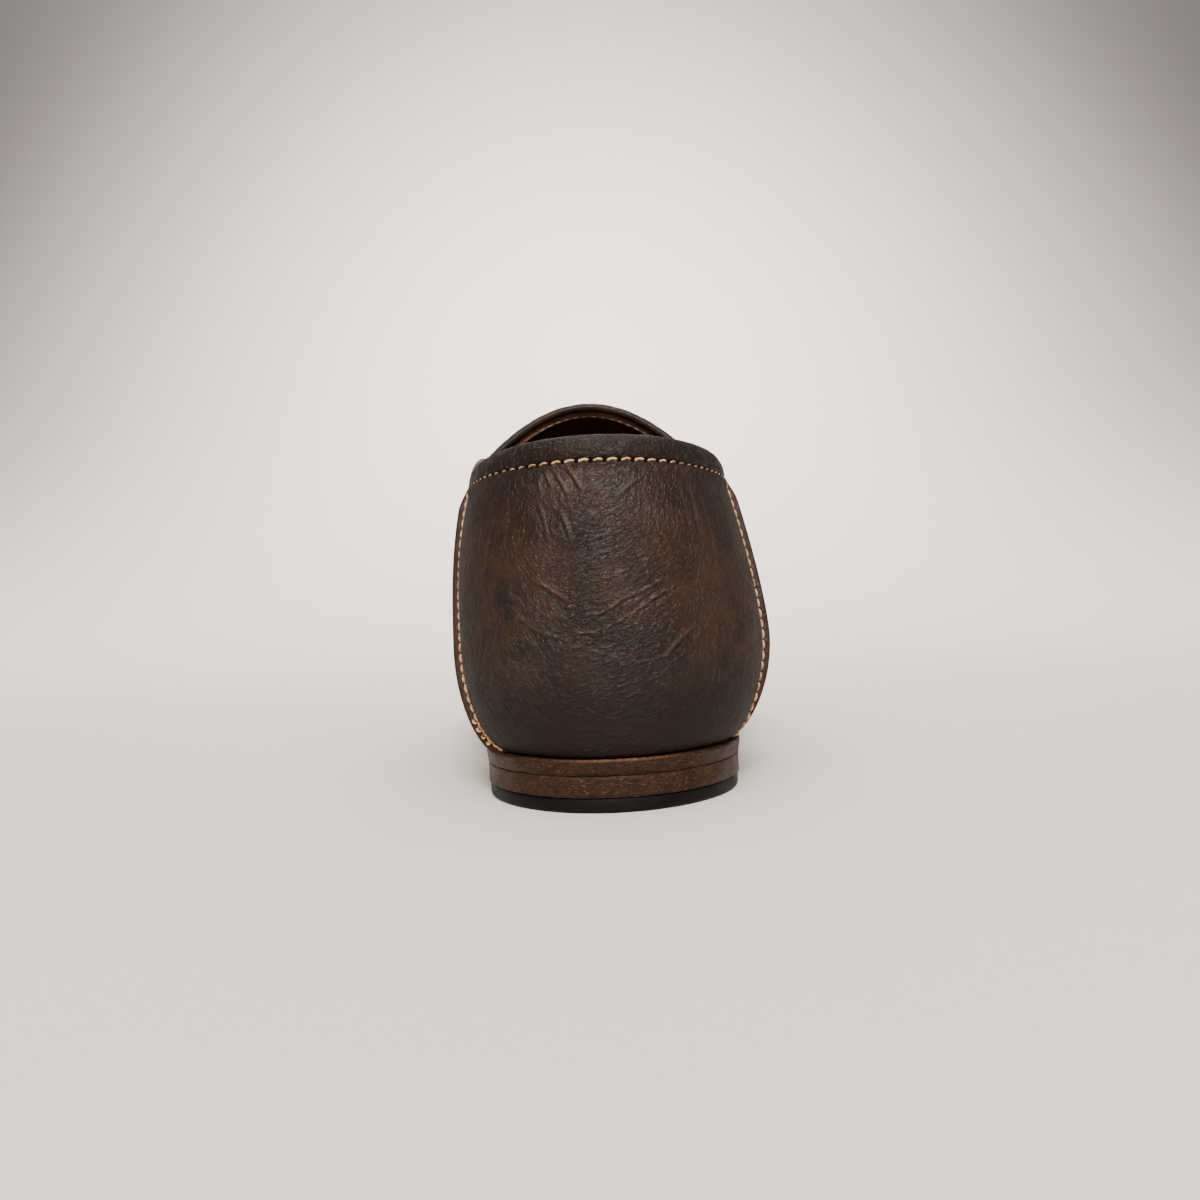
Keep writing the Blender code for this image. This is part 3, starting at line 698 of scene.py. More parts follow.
@dataclass(frozen=True)
class GrainedLeather(Finish):
    """Drum-dyed calf, waxed and creased by wear: pebbled grain, wandering wrinkles, a low gloss.

    Shade is painted into the colour: it darkens in the hollows, in the crease troughs and low on the panel. The ridges
    and wrinkle lines are painted lighter, part rubbed wear and part painted highlight; there are also redder patches.
    """

    name: str = "grained_calf_leather"
    dark: str = "#170E0A"
    brown: str = "#281912"
    red: str = "#35200F"
    # light colour of the ridges and wrinkle lines: rubbed wear and painted highlight
    rubbed_highlight: str = "#725A4C"
    raw: str = "#5A3824"
    patch: float = 14.0
    mottle: float = 2.2
    blush: float = 5.0
    pebble: float = 0.55
    pebble_depth: float = 0.025
    wrinkle: tuple[float, float] = (2.3, 0.9)
    wrinkle_depth: float = 0.25
    gloss: tuple[float, float] = (0.27, 0.44)
    shine: float = 0.175

    def wrinkles(self, node: NodeAdder) -> Socket:
        """Short wavy ridges that lie as the mesh's mark lie says, from 0 beside to about 1 on a ridge."""
        lay = node("mark_vector", attribute_name="lay")
        shares = node("split", node("mark_vector", attribute_name="lie"))
        long, wide = self.wrinkle
        leaning = []
        for number, lean in enumerate(LEANS):
            seed = 13.0 * (number + 1)
            lines = veins(node, lay, (long, wide, wide), 0.1, seed + 5, lean)
            thin = veins(node, lay, (0.6 * long, 0.6 * wide, 0.6 * wide), 0.11, seed + 9, lean)
            shown = node("eased", cloud(node, lay, (0.9 * long, wide, wide), 1.0, seed + 3, lean), 0.4, 0.62)
            broken = added(node, (lines, shown))
            leaning.append((added(node, (broken, 0.8), (thin, 0.2), (shown, 0.3)), shares[number]))
        return added(node, *leaning)

    def paint(self, node: NodeAdder, spot: Socket) -> dict[str, object]:
        """Inputs of the shader; marks on the mesh: lay, lie and those named here."""
        names = ("smooth", "redness", "hollow", "ridge", "raw_edge", "matt")
        smooth, redness, hollow, ridge, raw_edge, matt = (node("mark", attribute_name=name) for name in names)
        tone = cloud(node, spot, (self.patch,) * 3, 4.0)
        fine = cloud(node, spot, (self.mottle,) * 3, 3.0, 40.0)
        blush = cloud(node, spot, (self.blush,) * 3, 4.0, 71.0)
        cells = node("cells", spot, 1 / self.pebble)
        lines = added(node, (self.wrinkles(node), added(node, (smooth, -1.0), (1.0, 1.0))))
        height = added(node, (lines, self.wrinkle_depth), (cells, -self.pebble_depth), (fine, self.wrinkle_depth))
        # Ridges and wrinkle lines are lightened: partly rubbed wear, partly a painted highlight where light would
        # catch them
        worn = added(node, (ridge, 0.6), (node("eased", lines, 0.4, 1.2), 0.1))
        blushing = added(node, (redness, node("eased", blush, 0.36, 0.62)))
        colour = node("mix", node("eased", tone, 0.35, 0.65), self.dark, self.brown)
        # The shade mark is painted shade: it mixes the colour towards dark where shade falls
        layers = ((blushing, self.red), (hollow, self.dark), (worn, self.rubbed_highlight), (raw_edge, self.raw))
        for share, other in layers:
            colour = node("mix", share, colour, other)
        low, high = self.gloss
        polish = added(node, (lines, 0.8), (fine, 0.5))
        rough = added(node, (matt, 0.3), (node("eased", polish, 0.2, 0.9, high, low), 1.0))
        return {
            "Base Color": colour, "Roughness": rough, "Normal": node("bump", height, 1.0, MM),
            "Specular IOR Level": self.shine,
        }


@dataclass(frozen=True)
class LiningLeather(Finish):
    """Vegetable-tanned lining calf: smooth and matt, darkened by the foot."""

    name: str = "lining_calf_leather"
    dark: str = "#2C1910"
    light: str = "#4A2B1B"
    patch: float = 12.0
    pore: float = 0.6
    pore_depth: float = 0.03
    shine: float = 0.25

    def paint(self, node: NodeAdder, spot: Socket) -> dict[str, object]:
        """Inputs of the shader."""
        tone = cloud(node, spot, (self.patch,) * 3, 4.0)
        fine = cloud(node, spot, (self.pore,) * 3, 2.0, 13.0)
        return {
            "Base Color": node("mix", node("eased", tone, 0.2, 0.8), self.dark, self.light),
            "Roughness": node("eased", fine, 0.3, 0.7, 0.55, 0.72),
            "Normal": node("bump", added(node, (fine, self.pore_depth)), 1.0, MM),
            "Specular IOR Level": self.shine,
        }


@dataclass(frozen=True)
class SoleEdge(Finish):
    """Oak-bark sole leather, cut, inked and burnished: fibres run along the edge, ink thin in places."""

    name: str = "sole_leather_edge"
    dark: str = "#1A100A"
    brown: str = "#2D1B11"
    light: str = "#6A4429"
    fibre: tuple[float, float] = (2.2, 0.26)
    speck: tuple[float, float] = (0.9, 0.32)
    stain: tuple[float, float] = (9.0, 5.0)
    scratch: tuple[float, float] = (9.0, 1.6)
    shine: float = 0.12

    def paint(self, node: NodeAdder, spot: Socket) -> dict[str, object]:
        """Inputs of the shader; mark on the mesh: frayed."""
        sizes = ((long, long, thin) for long, thin in (self.fibre, self.speck, self.stain, self.scratch))
        fibre, speck, blot, line = sizes
        fibres = cloud(node, spot, fibre, 4.0)
        specks = cloud(node, spot, speck, 2.0, 21.0)
        stain = cloud(node, spot, blot, 4.0, 33.0)
        scratch = veins(node, spot, line, 0.025, 51.0, 35.0)
        frayed = node("mark", attribute_name="frayed")
        colour = node("mix", node("eased", fibres, 0.32, 0.66), self.dark, self.brown)
        colour = node("mix", node("eased", stain, 0.5, 0.75, 0.0, 0.5), colour, self.dark)
        light = added(node, (node("eased", specks, 0.58, 0.72), 0.5), (scratch, 0.12), (frayed, 0.8))
        height = added(node, (fibres, 0.12), (specks, 0.08), (scratch, -0.04))
        return {
            "Base Color": node("mix", light, colour, self.light),
            "Roughness": node("eased", stain, 0.3, 0.7, 0.45, 0.62),
            "Normal": node("bump", height, 1.0, MM),
            "Specular IOR Level": self.shine,
        }


@dataclass(frozen=True)
class MouldedRubber(Finish):
    """Black heel rubber, moulded: matt, with a faint bloom and fine pits."""

    name: str = "moulded_heel_rubber"
    black: str = "#060606"
    grey: str = "#0C0C0C"
    bloom: tuple[float, float, float] = (7.0, 7.0, 3.0)
    pit: float = 0.35
    pit_depth: float = 0.04
    shine: float = 0.11

    def paint(self, node: NodeAdder, spot: Socket) -> dict[str, object]:
        """Inputs of the shader."""
        bloom = cloud(node, spot, self.bloom, 4.0)
        pits = cloud(node, spot, (self.pit,) * 3, 2.0, 7.0)
        return {
            "Base Color": node("mix", node("eased", bloom, 0.3, 0.7), self.black, self.grey),
            "Roughness": node("eased", bloom, 0.3, 0.7, 0.5, 0.66),
            "Normal": node("bump", added(node, (pits, self.pit_depth)), 1.0, MM),
            "Specular IOR Level": self.shine,
        }


@dataclass(frozen=True)
class AgedBrass(Finish):
    """Cast brass, polished, gone slightly brown where hands don't rub it."""

    name: str = "aged_cast_brass"
    bright: str = "#C9A15A"
    brown: str = "#8A6431"
    film: float = 3.5

    def paint(self, node: NodeAdder, spot: Socket) -> dict[str, object]:
        """Inputs of the shader."""
        film = cloud(node, spot, (self.film,) * 3, 4.0)
        return {
            "Base Color": node("mix", node("eased", film, 0.42, 0.7), self.bright, self.brown),
            "Roughness": node("eased", film, 0.35, 0.7, 0.2, 0.42),
            "Metallic": 1.0,
        }


@dataclass(frozen=True)
class WaxedThread(Finish):
    """Waxed linen thread, twisted from two strands: matt tan."""

    name: str = "waxed_linen_thread"
    dark: str = "#754F30"
    tan: str = "#C99C6C"
    patch: float = 1.6
    fibre: float = 0.25
    fibre_depth: float = 0.06

    def paint(self, node: NodeAdder, spot: Socket) -> dict[str, object]:
        """Inputs of the shader."""
        tone = cloud(node, spot, (self.patch,) * 3, 3.0)
        fibre = cloud(node, spot, (self.fibre,) * 3, 2.0, 11.0)
        return {
            "Base Color": node("mix", node("eased", tone, 0.3, 0.6), self.dark, self.tan),
            "Normal": node("bump", added(node, (fibre, self.fibre_depth)), 1.0, MM),
            "Roughness": 0.62,
            "IOR": 1.5,
        }


@dataclass(frozen=True)
class HoleShade(Finish):
    """Painted shade of an awl hole: a near-black lens laid in the leather where the hole's shade falls."""

    name: str = "awl_hole"
    dark: str = "#060403"
    brown: str = "#0D0806"
    patch: float = 0.5

    def paint(self, node: NodeAdder, spot: Socket) -> dict[str, object]:
        """Inputs of the shader."""
        colour = node("mix", cloud(node, spot, (self.patch,) * 3), self.dark, self.brown)
        return {"Base Color": colour, "Roughness": 0.9, "Specular IOR Level": 0.05}


@dataclass(frozen=True)
class PaperSweep(Finish):
    """Seamless background paper: pale warm grey and matt, with painted shade that darkens it far from its middle, as
    light falling off would.
    """

    name: str = "background_paper"
    pale: str = "#DFD3C8"
    grey: str = "#5A5654"
    # middle and reach: centre of the painted shade and the distances over which it grows
    middle: tuple[float, float, float] = (0.0, 0.0, 260.0)
    reach: tuple[float, float] = (50.0, 1700.0)
    raised: tuple[float, float] = (600.0, 1600.0)  # depth over which the floor turns into the backdrop and the painted shade grows in

    def paint(self, node: NodeAdder, spot: Socket) -> dict[str, object]:
        """Inputs of the shader."""
        # Painted shade: the paper is mixed towards grey far from the middle, on the cove and the wall behind
        away = node("distance", node("product", spot, (1.0, 0.0, 1.0)), self.middle)
        depth = node("eased", node("split", spot)["Y"], *self.raised)
        share = added(node, (node("eased", away, *self.reach), depth))
        return {"Base Color": node("mix", share, self.pale, self.grey), "Roughness": 0.9}


@dataclass
class Finishes:
    """One material of each kind, made once."""

    made: dict[str, bpy.types.Material] = field(default_factory=dict)

    def of(self, finish: Finish) -> bpy.types.Material:
        """The material of a finish."""
        if finish.name not in self.made:
            self.made[finish.name] = finish.make()
        return self.made[finish.name]


# ---------------------------------------------------------------- pieces


@dataclass
class SubAssembly:
    """Pieces on the last that share its finishes."""

    last: Last
    finishes: Finishes

    def add(
        self, name: str, shape: tuple[Points, Faces], finish: list[Finish], slot: str, *nodes: str,
        marks: dict[str, np.ndarray] | None = None, kinds: np.ndarray | None = None, sharp: float = 60.0,
    ) -> bpy.types.Object:
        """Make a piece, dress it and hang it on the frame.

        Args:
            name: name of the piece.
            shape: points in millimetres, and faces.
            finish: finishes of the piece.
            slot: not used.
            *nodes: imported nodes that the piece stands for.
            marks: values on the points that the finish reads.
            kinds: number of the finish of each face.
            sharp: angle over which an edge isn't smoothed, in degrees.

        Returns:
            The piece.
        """
        points, faces = shape
        mesh = new_mesh(name, self.last.placed(points), faces)
        for kind in finish:
            mesh.materials.append(self.finishes.of(kind))
        if kinds is not None:
            mesh.polygons.foreach_set("material_index", kinds.astype(np.int32))
        set_marks(mesh, {"lay": points, "lie": np.full_like(points, 1 / len(LEANS)), **(marks or {})})
        mesh.set_sharp_from_angle(angle=math.radians(sharp))
        return self.hang(new_object(name, mesh), slot, *nodes)

    def hang(self, piece: bpy.types.Object, slot: str, *nodes: str) -> bpy.types.Object:
        """Let a piece ride on the shoe and hide the imported nodes that it stands for."""
        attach(piece, "root")
        if nodes:
            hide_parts(*nodes)
        LOG.info("%s: %d faces", piece.name, len(piece.data.polygons))
        return piece


class Thread(Enum):
    """What a row of sewing leaves on the leather."""

    LOOP = "loop"
    HOLE = "hole"


@dataclass
class Sewing(SubAssembly):
    """Rows of stitches, and of dark lenses painted as the shade of awl holes, each set on points of a seam by a node
    tree.
    """

    rings: int = 9
    sides: int = 8
    ply: float = 0.13  # how deep the twist of the two strands shows
    turns: float = 1.25
    variation: float = 0.08
    seed: int = 4
    stems: dict[Thread, bpy.types.Object] = field(default_factory=dict)

    def loop_mesh(self) -> tuple[Points, Faces]:
        """One stitch of length 1 and thickness 1: an arch that dives into the leather at both ends."""
        t = np.linspace(-1, 1, self.rings)
        path = np.stack([t / 2, 0.32 * (1 - t**2), 0.5 - 1.15 * np.abs(t) ** 4], axis=-1)
        along = unit(np.gradient(path, axis=0) * (1.0, 0.5, 0.5))
        first = unit(np.cross(along, (0.0, 0.0, 1.0)))
        angle = np.linspace(0, 2 * math.pi, self.sides, endpoint=False)[:, None]
        strands = 1 - self.ply * (1 + np.cos(2 * (angle - math.pi * self.turns * t)))
        radii = 0.52 * strands * (1 - 0.2 * t**4)
        rings = tube(path, first * (0.4, 1, 1), np.cross(first, along), radii, self.sides)
        return loft(rings * (0.66, 1.0, 1.0))

    def hole_mesh(self) -> tuple[Points, Faces]:
        """One awl hole of length 1: a low lens that lies in the leather and carries the hole's painted shade."""
        turn = np.linspace(0, 2 * math.pi, 10, endpoint=False)
        rings = [
            np.stack([r * np.cos(turn) / 2, r * np.sin(turn) / 2, np.full(10, z)], axis=-1)
            for r, z in ((1.0, -0.1), (0.9, 0.02), (0.4, 0.06))
        ]
        return stack(rings)

    def stem(self, thread: Thread) -> bpy.types.Object:
        """The shape that a row repeats."""
        if thread not in self.stems:
            shape = self.loop_mesh() if thread is Thread.LOOP else self.hole_mesh()
            mesh = new_mesh(f"single_{thread.value}", *shape)
            self.stems[thread] = new_object(mesh.name, mesh)
        return self.stems[thread]

    def tree(self) -> bpy.types.NodeTree:
        """Node tree that sets a shape on each point, turned along the seam."""
        if "sewn_row" in bpy.data.node_groups:
            return bpy.data.node_groups["sewn_row"]
        tree = bpy.data.node_groups.new("sewn_row", "GeometryNodeTree")
        kinds = {
            "Seam": "Geometry", "Stitch": "Object", "Length": "Float", "Width": "Float",
            "Thickness": "Float", "Variation": "Float", "Seed": "Int", "Finish": "Material",
        }
        for name, kind in kinds.items():
            tree.interface.new_socket(name, in_out="INPUT", socket_type=f"NodeSocket{kind}")
        tree.interface.new_socket("Row", in_out="OUTPUT", socket_type="NodeSocketGeometry")
        node = partial(add_node, tree)
        given = node("given")
        turn = node("turned", node("attribute", "along"), node("attribute", "out"))
        low, high = (node("math", 1.0, given["Variation"], operation=way) for way in ("SUBTRACT", "ADD"))
        vary = node("random", low, high, given["Seed"])
        own = node("math", node("attribute", "share", data_type="FLOAT"), vary, operation="MULTIPLY")
        size = node("vector", given["Length"], given["Width"], given["Thickness"])
        shape = node("object", given["Stitch"])
        placed = node("on_points", given["Seam"], shape, turn, node("scaled", size, own))
        node("result", node("dressed", node("realized", placed), given["Finish"]))
        return tree

    def row(
        self, name: str, points: Points, along: Points, out: Points, size: tuple[float, float, float],
        thread: Thread = Thread.LOOP, finish: Finish | None = None, slot: str = "upper_leather",
        share: np.ndarray | float = 1.0,
    ) -> bpy.types.Object:
        """Sew one row.

        Args:
            name: name of the piece.
            points: middle of each stitch, on the leather.
            along: direction of the seam there.
            out: direction away from the leather there.
            size: length, width and thickness of a stitch.
            thread: loops of thread, or dark lenses painted as the shade of holes.
            finish: finish of the stitches.
            slot: not used.
            share: share of that size which each stitch has.

        Returns:
            The piece.
        """
        mesh = new_mesh(name, self.last.placed(points), [])
        set_marks(mesh, {"share": share, "along": along, "out": out})
        piece = new_object(name, mesh)
        tree = self.tree()
        modifier = piece.modifiers.new("sewn_row", "NODES")
        modifier.node_group = tree
        ids = {item.name: item.identifier for item in tree.interface.items_tree if item.in_out == "INPUT"}
        kind = finish or (WaxedThread() if thread is Thread.LOOP else HoleShade())
        values = {"Stitch": self.stem(thread), "Variation": self.variation, "Seed": self.seed}
        values |= {key: value * MM for key, value in zip(("Length", "Width", "Thickness"), size)}
        values["Finish"] = self.finishes.of(kind)
        for key, value in values.items():
            modifier[ids[key]] = value
        graph = bpy.context.evaluated_depsgraph_get()
        made = bpy.data.meshes.new_from_object(piece.evaluated_get(graph), depsgraph=graph)
        piece.modifiers.clear()
        piece.data = made
        bpy.data.meshes.remove(mesh)
        made.name = name
        return self.hang(piece, slot)

    def along_path(
        self, name: str, path: Points, out: Points, pitch: float, size: tuple[float, float, float],
        lift: float = 0.0, slant: float = 0.0, start: float = 0.5, **options: object,
    ) -> bpy.types.Object:
        """Sew a row along a path.

        Args:
            name: name of the piece.
            path: points of the seam.
            out: direction away from the leather at each of them.
            pitch: from one stitch to the next.
            size: length, width and thickness of a stitch.
            lift: height over the path.
            slant: how much each stitch turns across the seam.
            start: way to the first stitch, as a share of the pitch.
            **options: what row takes.

        Returns:
            The piece.
        """
        arc = arc_length(path)
        at = np.arange(start * pitch, arc[-1], pitch)
        middle = walk(path, at)
        along = unit(walk(path, at + 0.2) - walk(path, at - 0.2))
        up = unit(read(at, arc, out))
        along = unit(along + slant * np.cross(up, along))
        return self.row(name, middle + up * lift, along, up, size, **options)

    def put_away(self) -> None:
        """Remove the single shapes once the rows are plain meshes."""
        for single in self.stems.values():
            bpy.data.objects.remove(single, do_unlink=True)
        self.stems.clear()


@dataclass(frozen=True)
class Crease:
    """Soft trough with a lip on its upper side, laid out on the panel's face: way round and height."""

    round: float
    height: float
    length: float
    lean: float  # degrees from level, rising to the right as seen from behind
    bow: float = 0.0  # its middle lies this far over the line between its ends
    width: float = 0.55
    depth: float = 0.2

    def relief(self, way: np.ndarray, height: np.ndarray) -> np.ndarray:
        """Height of the leather at places on the panel.

        Args:
            way: way round the heel from its middle, to the lateral side.
            height: height over the floor.

        Returns:
            Millimetres, below zero in the trough and above zero on its lip.
        """
        turn = math.radians(self.lean)
        across, over = way - self.round, height - self.height
        along = across * math.cos(turn) + over * math.sin(turn)
        fade = np.clip(1 - (2 * along / self.length) ** 2, 0, 1)
        off = over * math.cos(turn) - across * math.sin(turn) - self.bow * fade
        lip = bell(off - 1.7 * self.width, 1.1 * self.width)
        return self.depth * fade * (0.9 * lip - bell(off, self.width))


@dataclass(frozen=True)
class Fold:
    """Long wavy fold across the panel: a ridge with a soft trough under it."""

    places: tuple[tuple[float, float], ...]  # way round and height, from left to right
    width: float
    depth: float
    fade: float = 3.0

    def relief(self, way: np.ndarray, height: np.ndarray) -> np.ndarray:
        """Height of the leather in millimetres at places on the panel, as for a crease."""
        ways, levels = np.array(self.places).T
        inside = np.clip(way, ways[0], ways[-1])
        slope = (np.interp(inside + 0.5, ways, levels) - np.interp(inside - 0.5, ways, levels))
        off = (height - spline(ways, levels, inside)) / np.hypot(1.0, slope)
        off = off + 0.12 * np.sin(way * 2.3 + self.places[0][1])
        shown = smoothstep((way - ways[0]) / self.fade) * smoothstep((ways[-1] - way) / self.fade)
        shown *= 0.65 + 0.35 * np.sin(1.9 * way + 1.3 * height)
        return self.depth * shown * (bell(off, self.width) - 0.9 * bell(off + 1.9 * self.width, 1.2 * self.width))


# Long folds of the back panel, with their width and depth
FOLDS = (
    Fold(((-7.5, 37.7), (-2.2, 37.2), (1.6, 38.5), (5.1, 40.2), (8.0, 41.9), (11.4, 44.1), (16.4, 45.8)), 0.28, 0.26),
    Fold(((-5.0, 40.9), (0.6, 41.4), (3.4, 43.2), (7.8, 45.0), (13.0, 47.3), (15.0, 47.6)), 0.28, 0.24),
    Fold(((4.5, 41.3), (7.8, 43.6), (10.2, 45.2), (13.0, 46.4)), 0.26, 0.16),
    Fold(((9.0, 40.2), (12.5, 42.6), (16.2, 45.0)), 0.26, 0.14),
    Fold(((10.0, 38.0), (13.0, 39.9), (17.0, 42.4)), 0.26, 0.13),
    Fold(((9.0, 36.0), (12.6, 38.0), (16.0, 40.5)), 0.26, 0.1),
    Fold(((-13.0, 37.2), (-9.0, 36.2), (-5.5, 35.0)), 0.27, 0.16, 2.0),
    Fold(((-11.5, 35.0), (-8.0, 34.5), (-4.0, 33.8), (0.0, 32.6), (2.5, 32.0), (5.5, 32.3), (8.5, 33.2)), 0.27, 0.18),
    Fold(((-9.0, 32.6), (-4.0, 32.2), (0.0, 30.6)), 0.26, 0.1, 2.0),
    Fold(((2.0, 29.6), (5.0, 30.8), (8.5, 31.0), (11.0, 31.4), (15.0, 33.2)), 0.26, 0.14),
    Fold(((-2.0, 47.6), (2.5, 48.4), (6.0, 50.2), (10.0, 51.6)), 0.26, 0.14),
    Fold(((-6.5, 51.0), (-1.0, 52.4), (3.5, 54.6)), 0.27, 0.14),
    Fold(((-4.0, 55.4), (0.5, 56.6), (5.0, 59.5)), 0.27, 0.14),
    Fold(((-1.5, 60.0), (3.0, 61.8), (7.0, 64.6)), 0.26, 0.12),
    Fold(((-19.0, 41.4), (-15.0, 39.4), (-12.0, 38.2)), 0.26, 0.12, 2.0),
    Fold(((-16.0, 47.0), (-12.0, 45.2), (-8.0, 44.2)), 0.26, 0.1, 2.0),
)
# Single creases of the back panel: way round, height, length, lean, bow, width, depth
CREASES = tuple(Crease(*row) for row in (
    (17.0, 33.6, 13.0, 40.0, 0.8, 0.45, 0.18),
    (-16.0, 38.6, 9.5, -31.0, -0.4, 0.45, 0.2),
    (-11.5, 45.2, 10.5, -30.0, 0.4, 0.45, 0.18),
    (-8.0, 58.8, 8.0, -69.0, 0.4, 0.45, 0.18),
    (-11.2, 68.4, 5.0, -63.0, 0.0, 0.4, 0.24),
    (-8.6, 67.6, 7.0, -62.0, 0.3, 0.4, 0.26),
    (-5.4, 68.0, 6.5, -60.0, 0.2, 0.4, 0.24),
    (-13.4, 67.2, 4.0, -75.0, 0.0, 0.4, 0.2),
    (-13.0, 60.0, 9.0, -75.0, 0.5, 0.45, 0.14),
    (7.0, 66.0, 7.0, 38.0, 0.4, 0.4, 0.14),
    (22.0, 62.0, 16.0, -76.0, 0.8, 0.45, 0.12),
    (18.5, 63.0, 14.0, -72.0, 0.8, 0.45, 0.1),
    (27.0, 58.0, 18.0, -78.0, 0.8, 0.45, 0.12),
    (-27.0, 55.0, 18.0, 74.0, 0.8, 0.45, 0.12),
    (-22.0, 58.0, 12.0, 76.0, -0.6, 0.45, 0.1),
))
# Lie of the small wrinkles: way round, height, lean
FLOW_ROWS = (
    (-45, 60, 78), (-45, 35, 85), (-27, 60, 72), (-27, 40, 76), (-26, 22, 140), (-14, 65, 112),
    (-15, 42, 147), (-12, 28, 158), (0, 62, 35), (0, 48, 14), (0, 36, 2), (0, 24, 24),
    (13, 66, 58), (14, 48, 22), (15, 34, 30), (24, 62, 103), (25, 40, 75), (26, 26, 55),
    (45, 60, 98), (45, 35, 95),
)
FLOW_REACH = 9.0


@dataclass
class BackPanel(SubAssembly):
    """One-piece back of the upper, from side seam to side seam, with its lining inside."""

    columns: int = 361
    rows: int = 226
    inside_rows: int = 26
    thick: float = 1.8
    edge_lift: float = 0.35  # its top edge lies over the collar band
    stitch_pitch: float = 2.9
    stitch: tuple[float, float, float] = (2.4, 0.42, 0.5)
    hole: tuple[float, float, float] = (1.1, 1.2, 3.0)
    pucker: float = 0.16
    hollow_place: tuple[float, float] = (1.8, 35.4)  # way round and height of the hollow under the folds, which is also painted with shade
    hollow_reach: tuple[float, float] = (5.5, 2.3)
    hollow_depth: float = 0.35
    wave: float = 0.12
    seam_pull: float = 0.3
    scallop: float = 0.28  # how far the top edge dips between stitches
    # Redder patches: strength, way round and height, reach round and up
    red_patches: tuple = ((0.6, -24, 45, 11, 24), (0.7, 28, 42, 12, 16), (0.3, 12, 55, 9, 10))
    # Rounded top edge: rise over the edge, and way into the leather
    rim: tuple = ((0.22, 0.1), (0.36, 0.4), (0.36, 0.8), (0.2, 1.3))
    small_wrinkles: int = 1700
    wrinkle_depth: tuple[float, float] = (0.03, 0.09)
    wrinkle_length: tuple[float, float] = (1.8, 5.0)
    wrinkle_width: tuple[float, float] = (0.24, 0.34)
    main_depth: float = 1.3
    seed: int = 11

    def face(self, rise: np.ndarray) -> Points:
        """Grid of the outer face at given rises, from the medial seam round to the lateral one."""
        return self.last.round_heel(self.last.seam_share, self.columns, rise)

    @staticmethod
    def lie(way: np.ndarray, height: np.ndarray) -> np.ndarray:
        """Lean of the small wrinkles at places on the panel, in radians."""
        sines, cosines = 1e-9, 1e-9
        for at, level, lean in FLOW_ROWS:
            weight = bell(np.hypot(way - at, height - level), FLOW_REACH)
            sines = sines + weight * math.sin(math.radians(2 * lean))
            cosines = cosines + weight * math.cos(math.radians(2 * lean))
        return 0.5 * np.arctan2(sines, cosines)

    @staticmethod
    def worn(way: np.ndarray, height: np.ndarray) -> np.ndarray:
        """How much wear shows: most in the middle of the panel, least near the sole."""
        return (0.4 + 0.6 * bell(way, 22.0)) * (0.25 + 0.75 * smoothstep((height - 14) / 18))

    @staticmethod
    def patch(
        way: np.ndarray, height: np.ndarray, at: float, level: float, wide: float, tall: float,
    ) -> np.ndarray:
        """Soft oval patch of strength 1 at a place on the panel."""
        return bell(np.hypot((way - at) / wide, (height - level) / tall), 1.0)

    def wrinkle(self, way: np.ndarray, height: np.ndarray) -> np.ndarray:
        """Relief of the small wrinkles that lie along the pull of the leather."""
        draw = np.random.default_rng(self.seed)
        total = np.zeros_like(way)
        for _ in range(self.small_wrinkles):
            at = draw.uniform(way.min(), way.max())
            level = draw.uniform(height.min(), height.max())
            lean = math.degrees(self.lie(at, level)) + draw.normal(0, 14)
            length = draw.uniform(*self.wrinkle_length)
            width = draw.uniform(*self.wrinkle_width)
            depth = draw.uniform(*self.wrinkle_depth) * self.worn(at, level)
            crease = Crease(at, level, length, lean, draw.normal(0, 0.5), width, depth)
            near = np.hypot(way - at, height - level) < length / 2 + 1.5
            total[near] += crease.relief(way[near], height[near])
        return total

    def build(self) -> None:
        """Make the panel."""
        top = 1 - self.last.collar_share
        rise = np.linspace(0, top, self.rows)
        face = self.face(rise)
        normals = grid_normals(face)
        level = face[..., 2]
        way = grid_way(face, 1)
        way -= way[:, self.columns // 2][:, None]
        drop = grid_way(face[::-1], 0)[::-1]
        side = np.minimum(way - way[:, :1], way[:, -1:] - way)

        main = self.main_depth * sum(crease.relief(way, level) for crease in CREASES + FOLDS)
        small = self.wrinkle(way, level)
        calm = smoothstep(drop / 1.2) * smoothstep(side / 1.6)
        # Patch of the dent under the folds; it also sets where shade is painted there
        hollow = self.patch(way, level, *self.hollow_place, *self.hollow_reach)
        waves = self.wave * np.sin(way / 6.3 + 0.8) * np.sin(level / 7.1 + way / 23)
        stitches = np.cos(2 * math.pi * way / self.stitch_pitch)
        puckers = -self.pucker * (0.5 + 0.5 * stitches) * bell(drop - 1.6, 1.6)
        sewn_in = -self.seam_pull * bell(side - 1.2, 0.9)
        relief = (main + small - self.hollow_depth * hollow + waves) * calm
        relief += self.edge_lift * smoothstep(1 - drop / 2.2) + puckers + sewn_in
        skin = raised(face, normals, relief)
        skin[..., 2] -= self.scallop * (0.5 - 0.5 * stitches) * bell(drop, 0.9)

        up = unit(face[-1:] - face[-4:-3])
        rim = np.concatenate([skin[-1:] + up * lift - normals[-1:] * sink for lift, sink in self.rim])
        inside = self.face(np.linspace(top, 0.0, self.inside_rows))
        inside = raised(inside, grid_normals(inside), self.thick)
        points, faces = loft(np.concatenate([skin, rim, inside]))

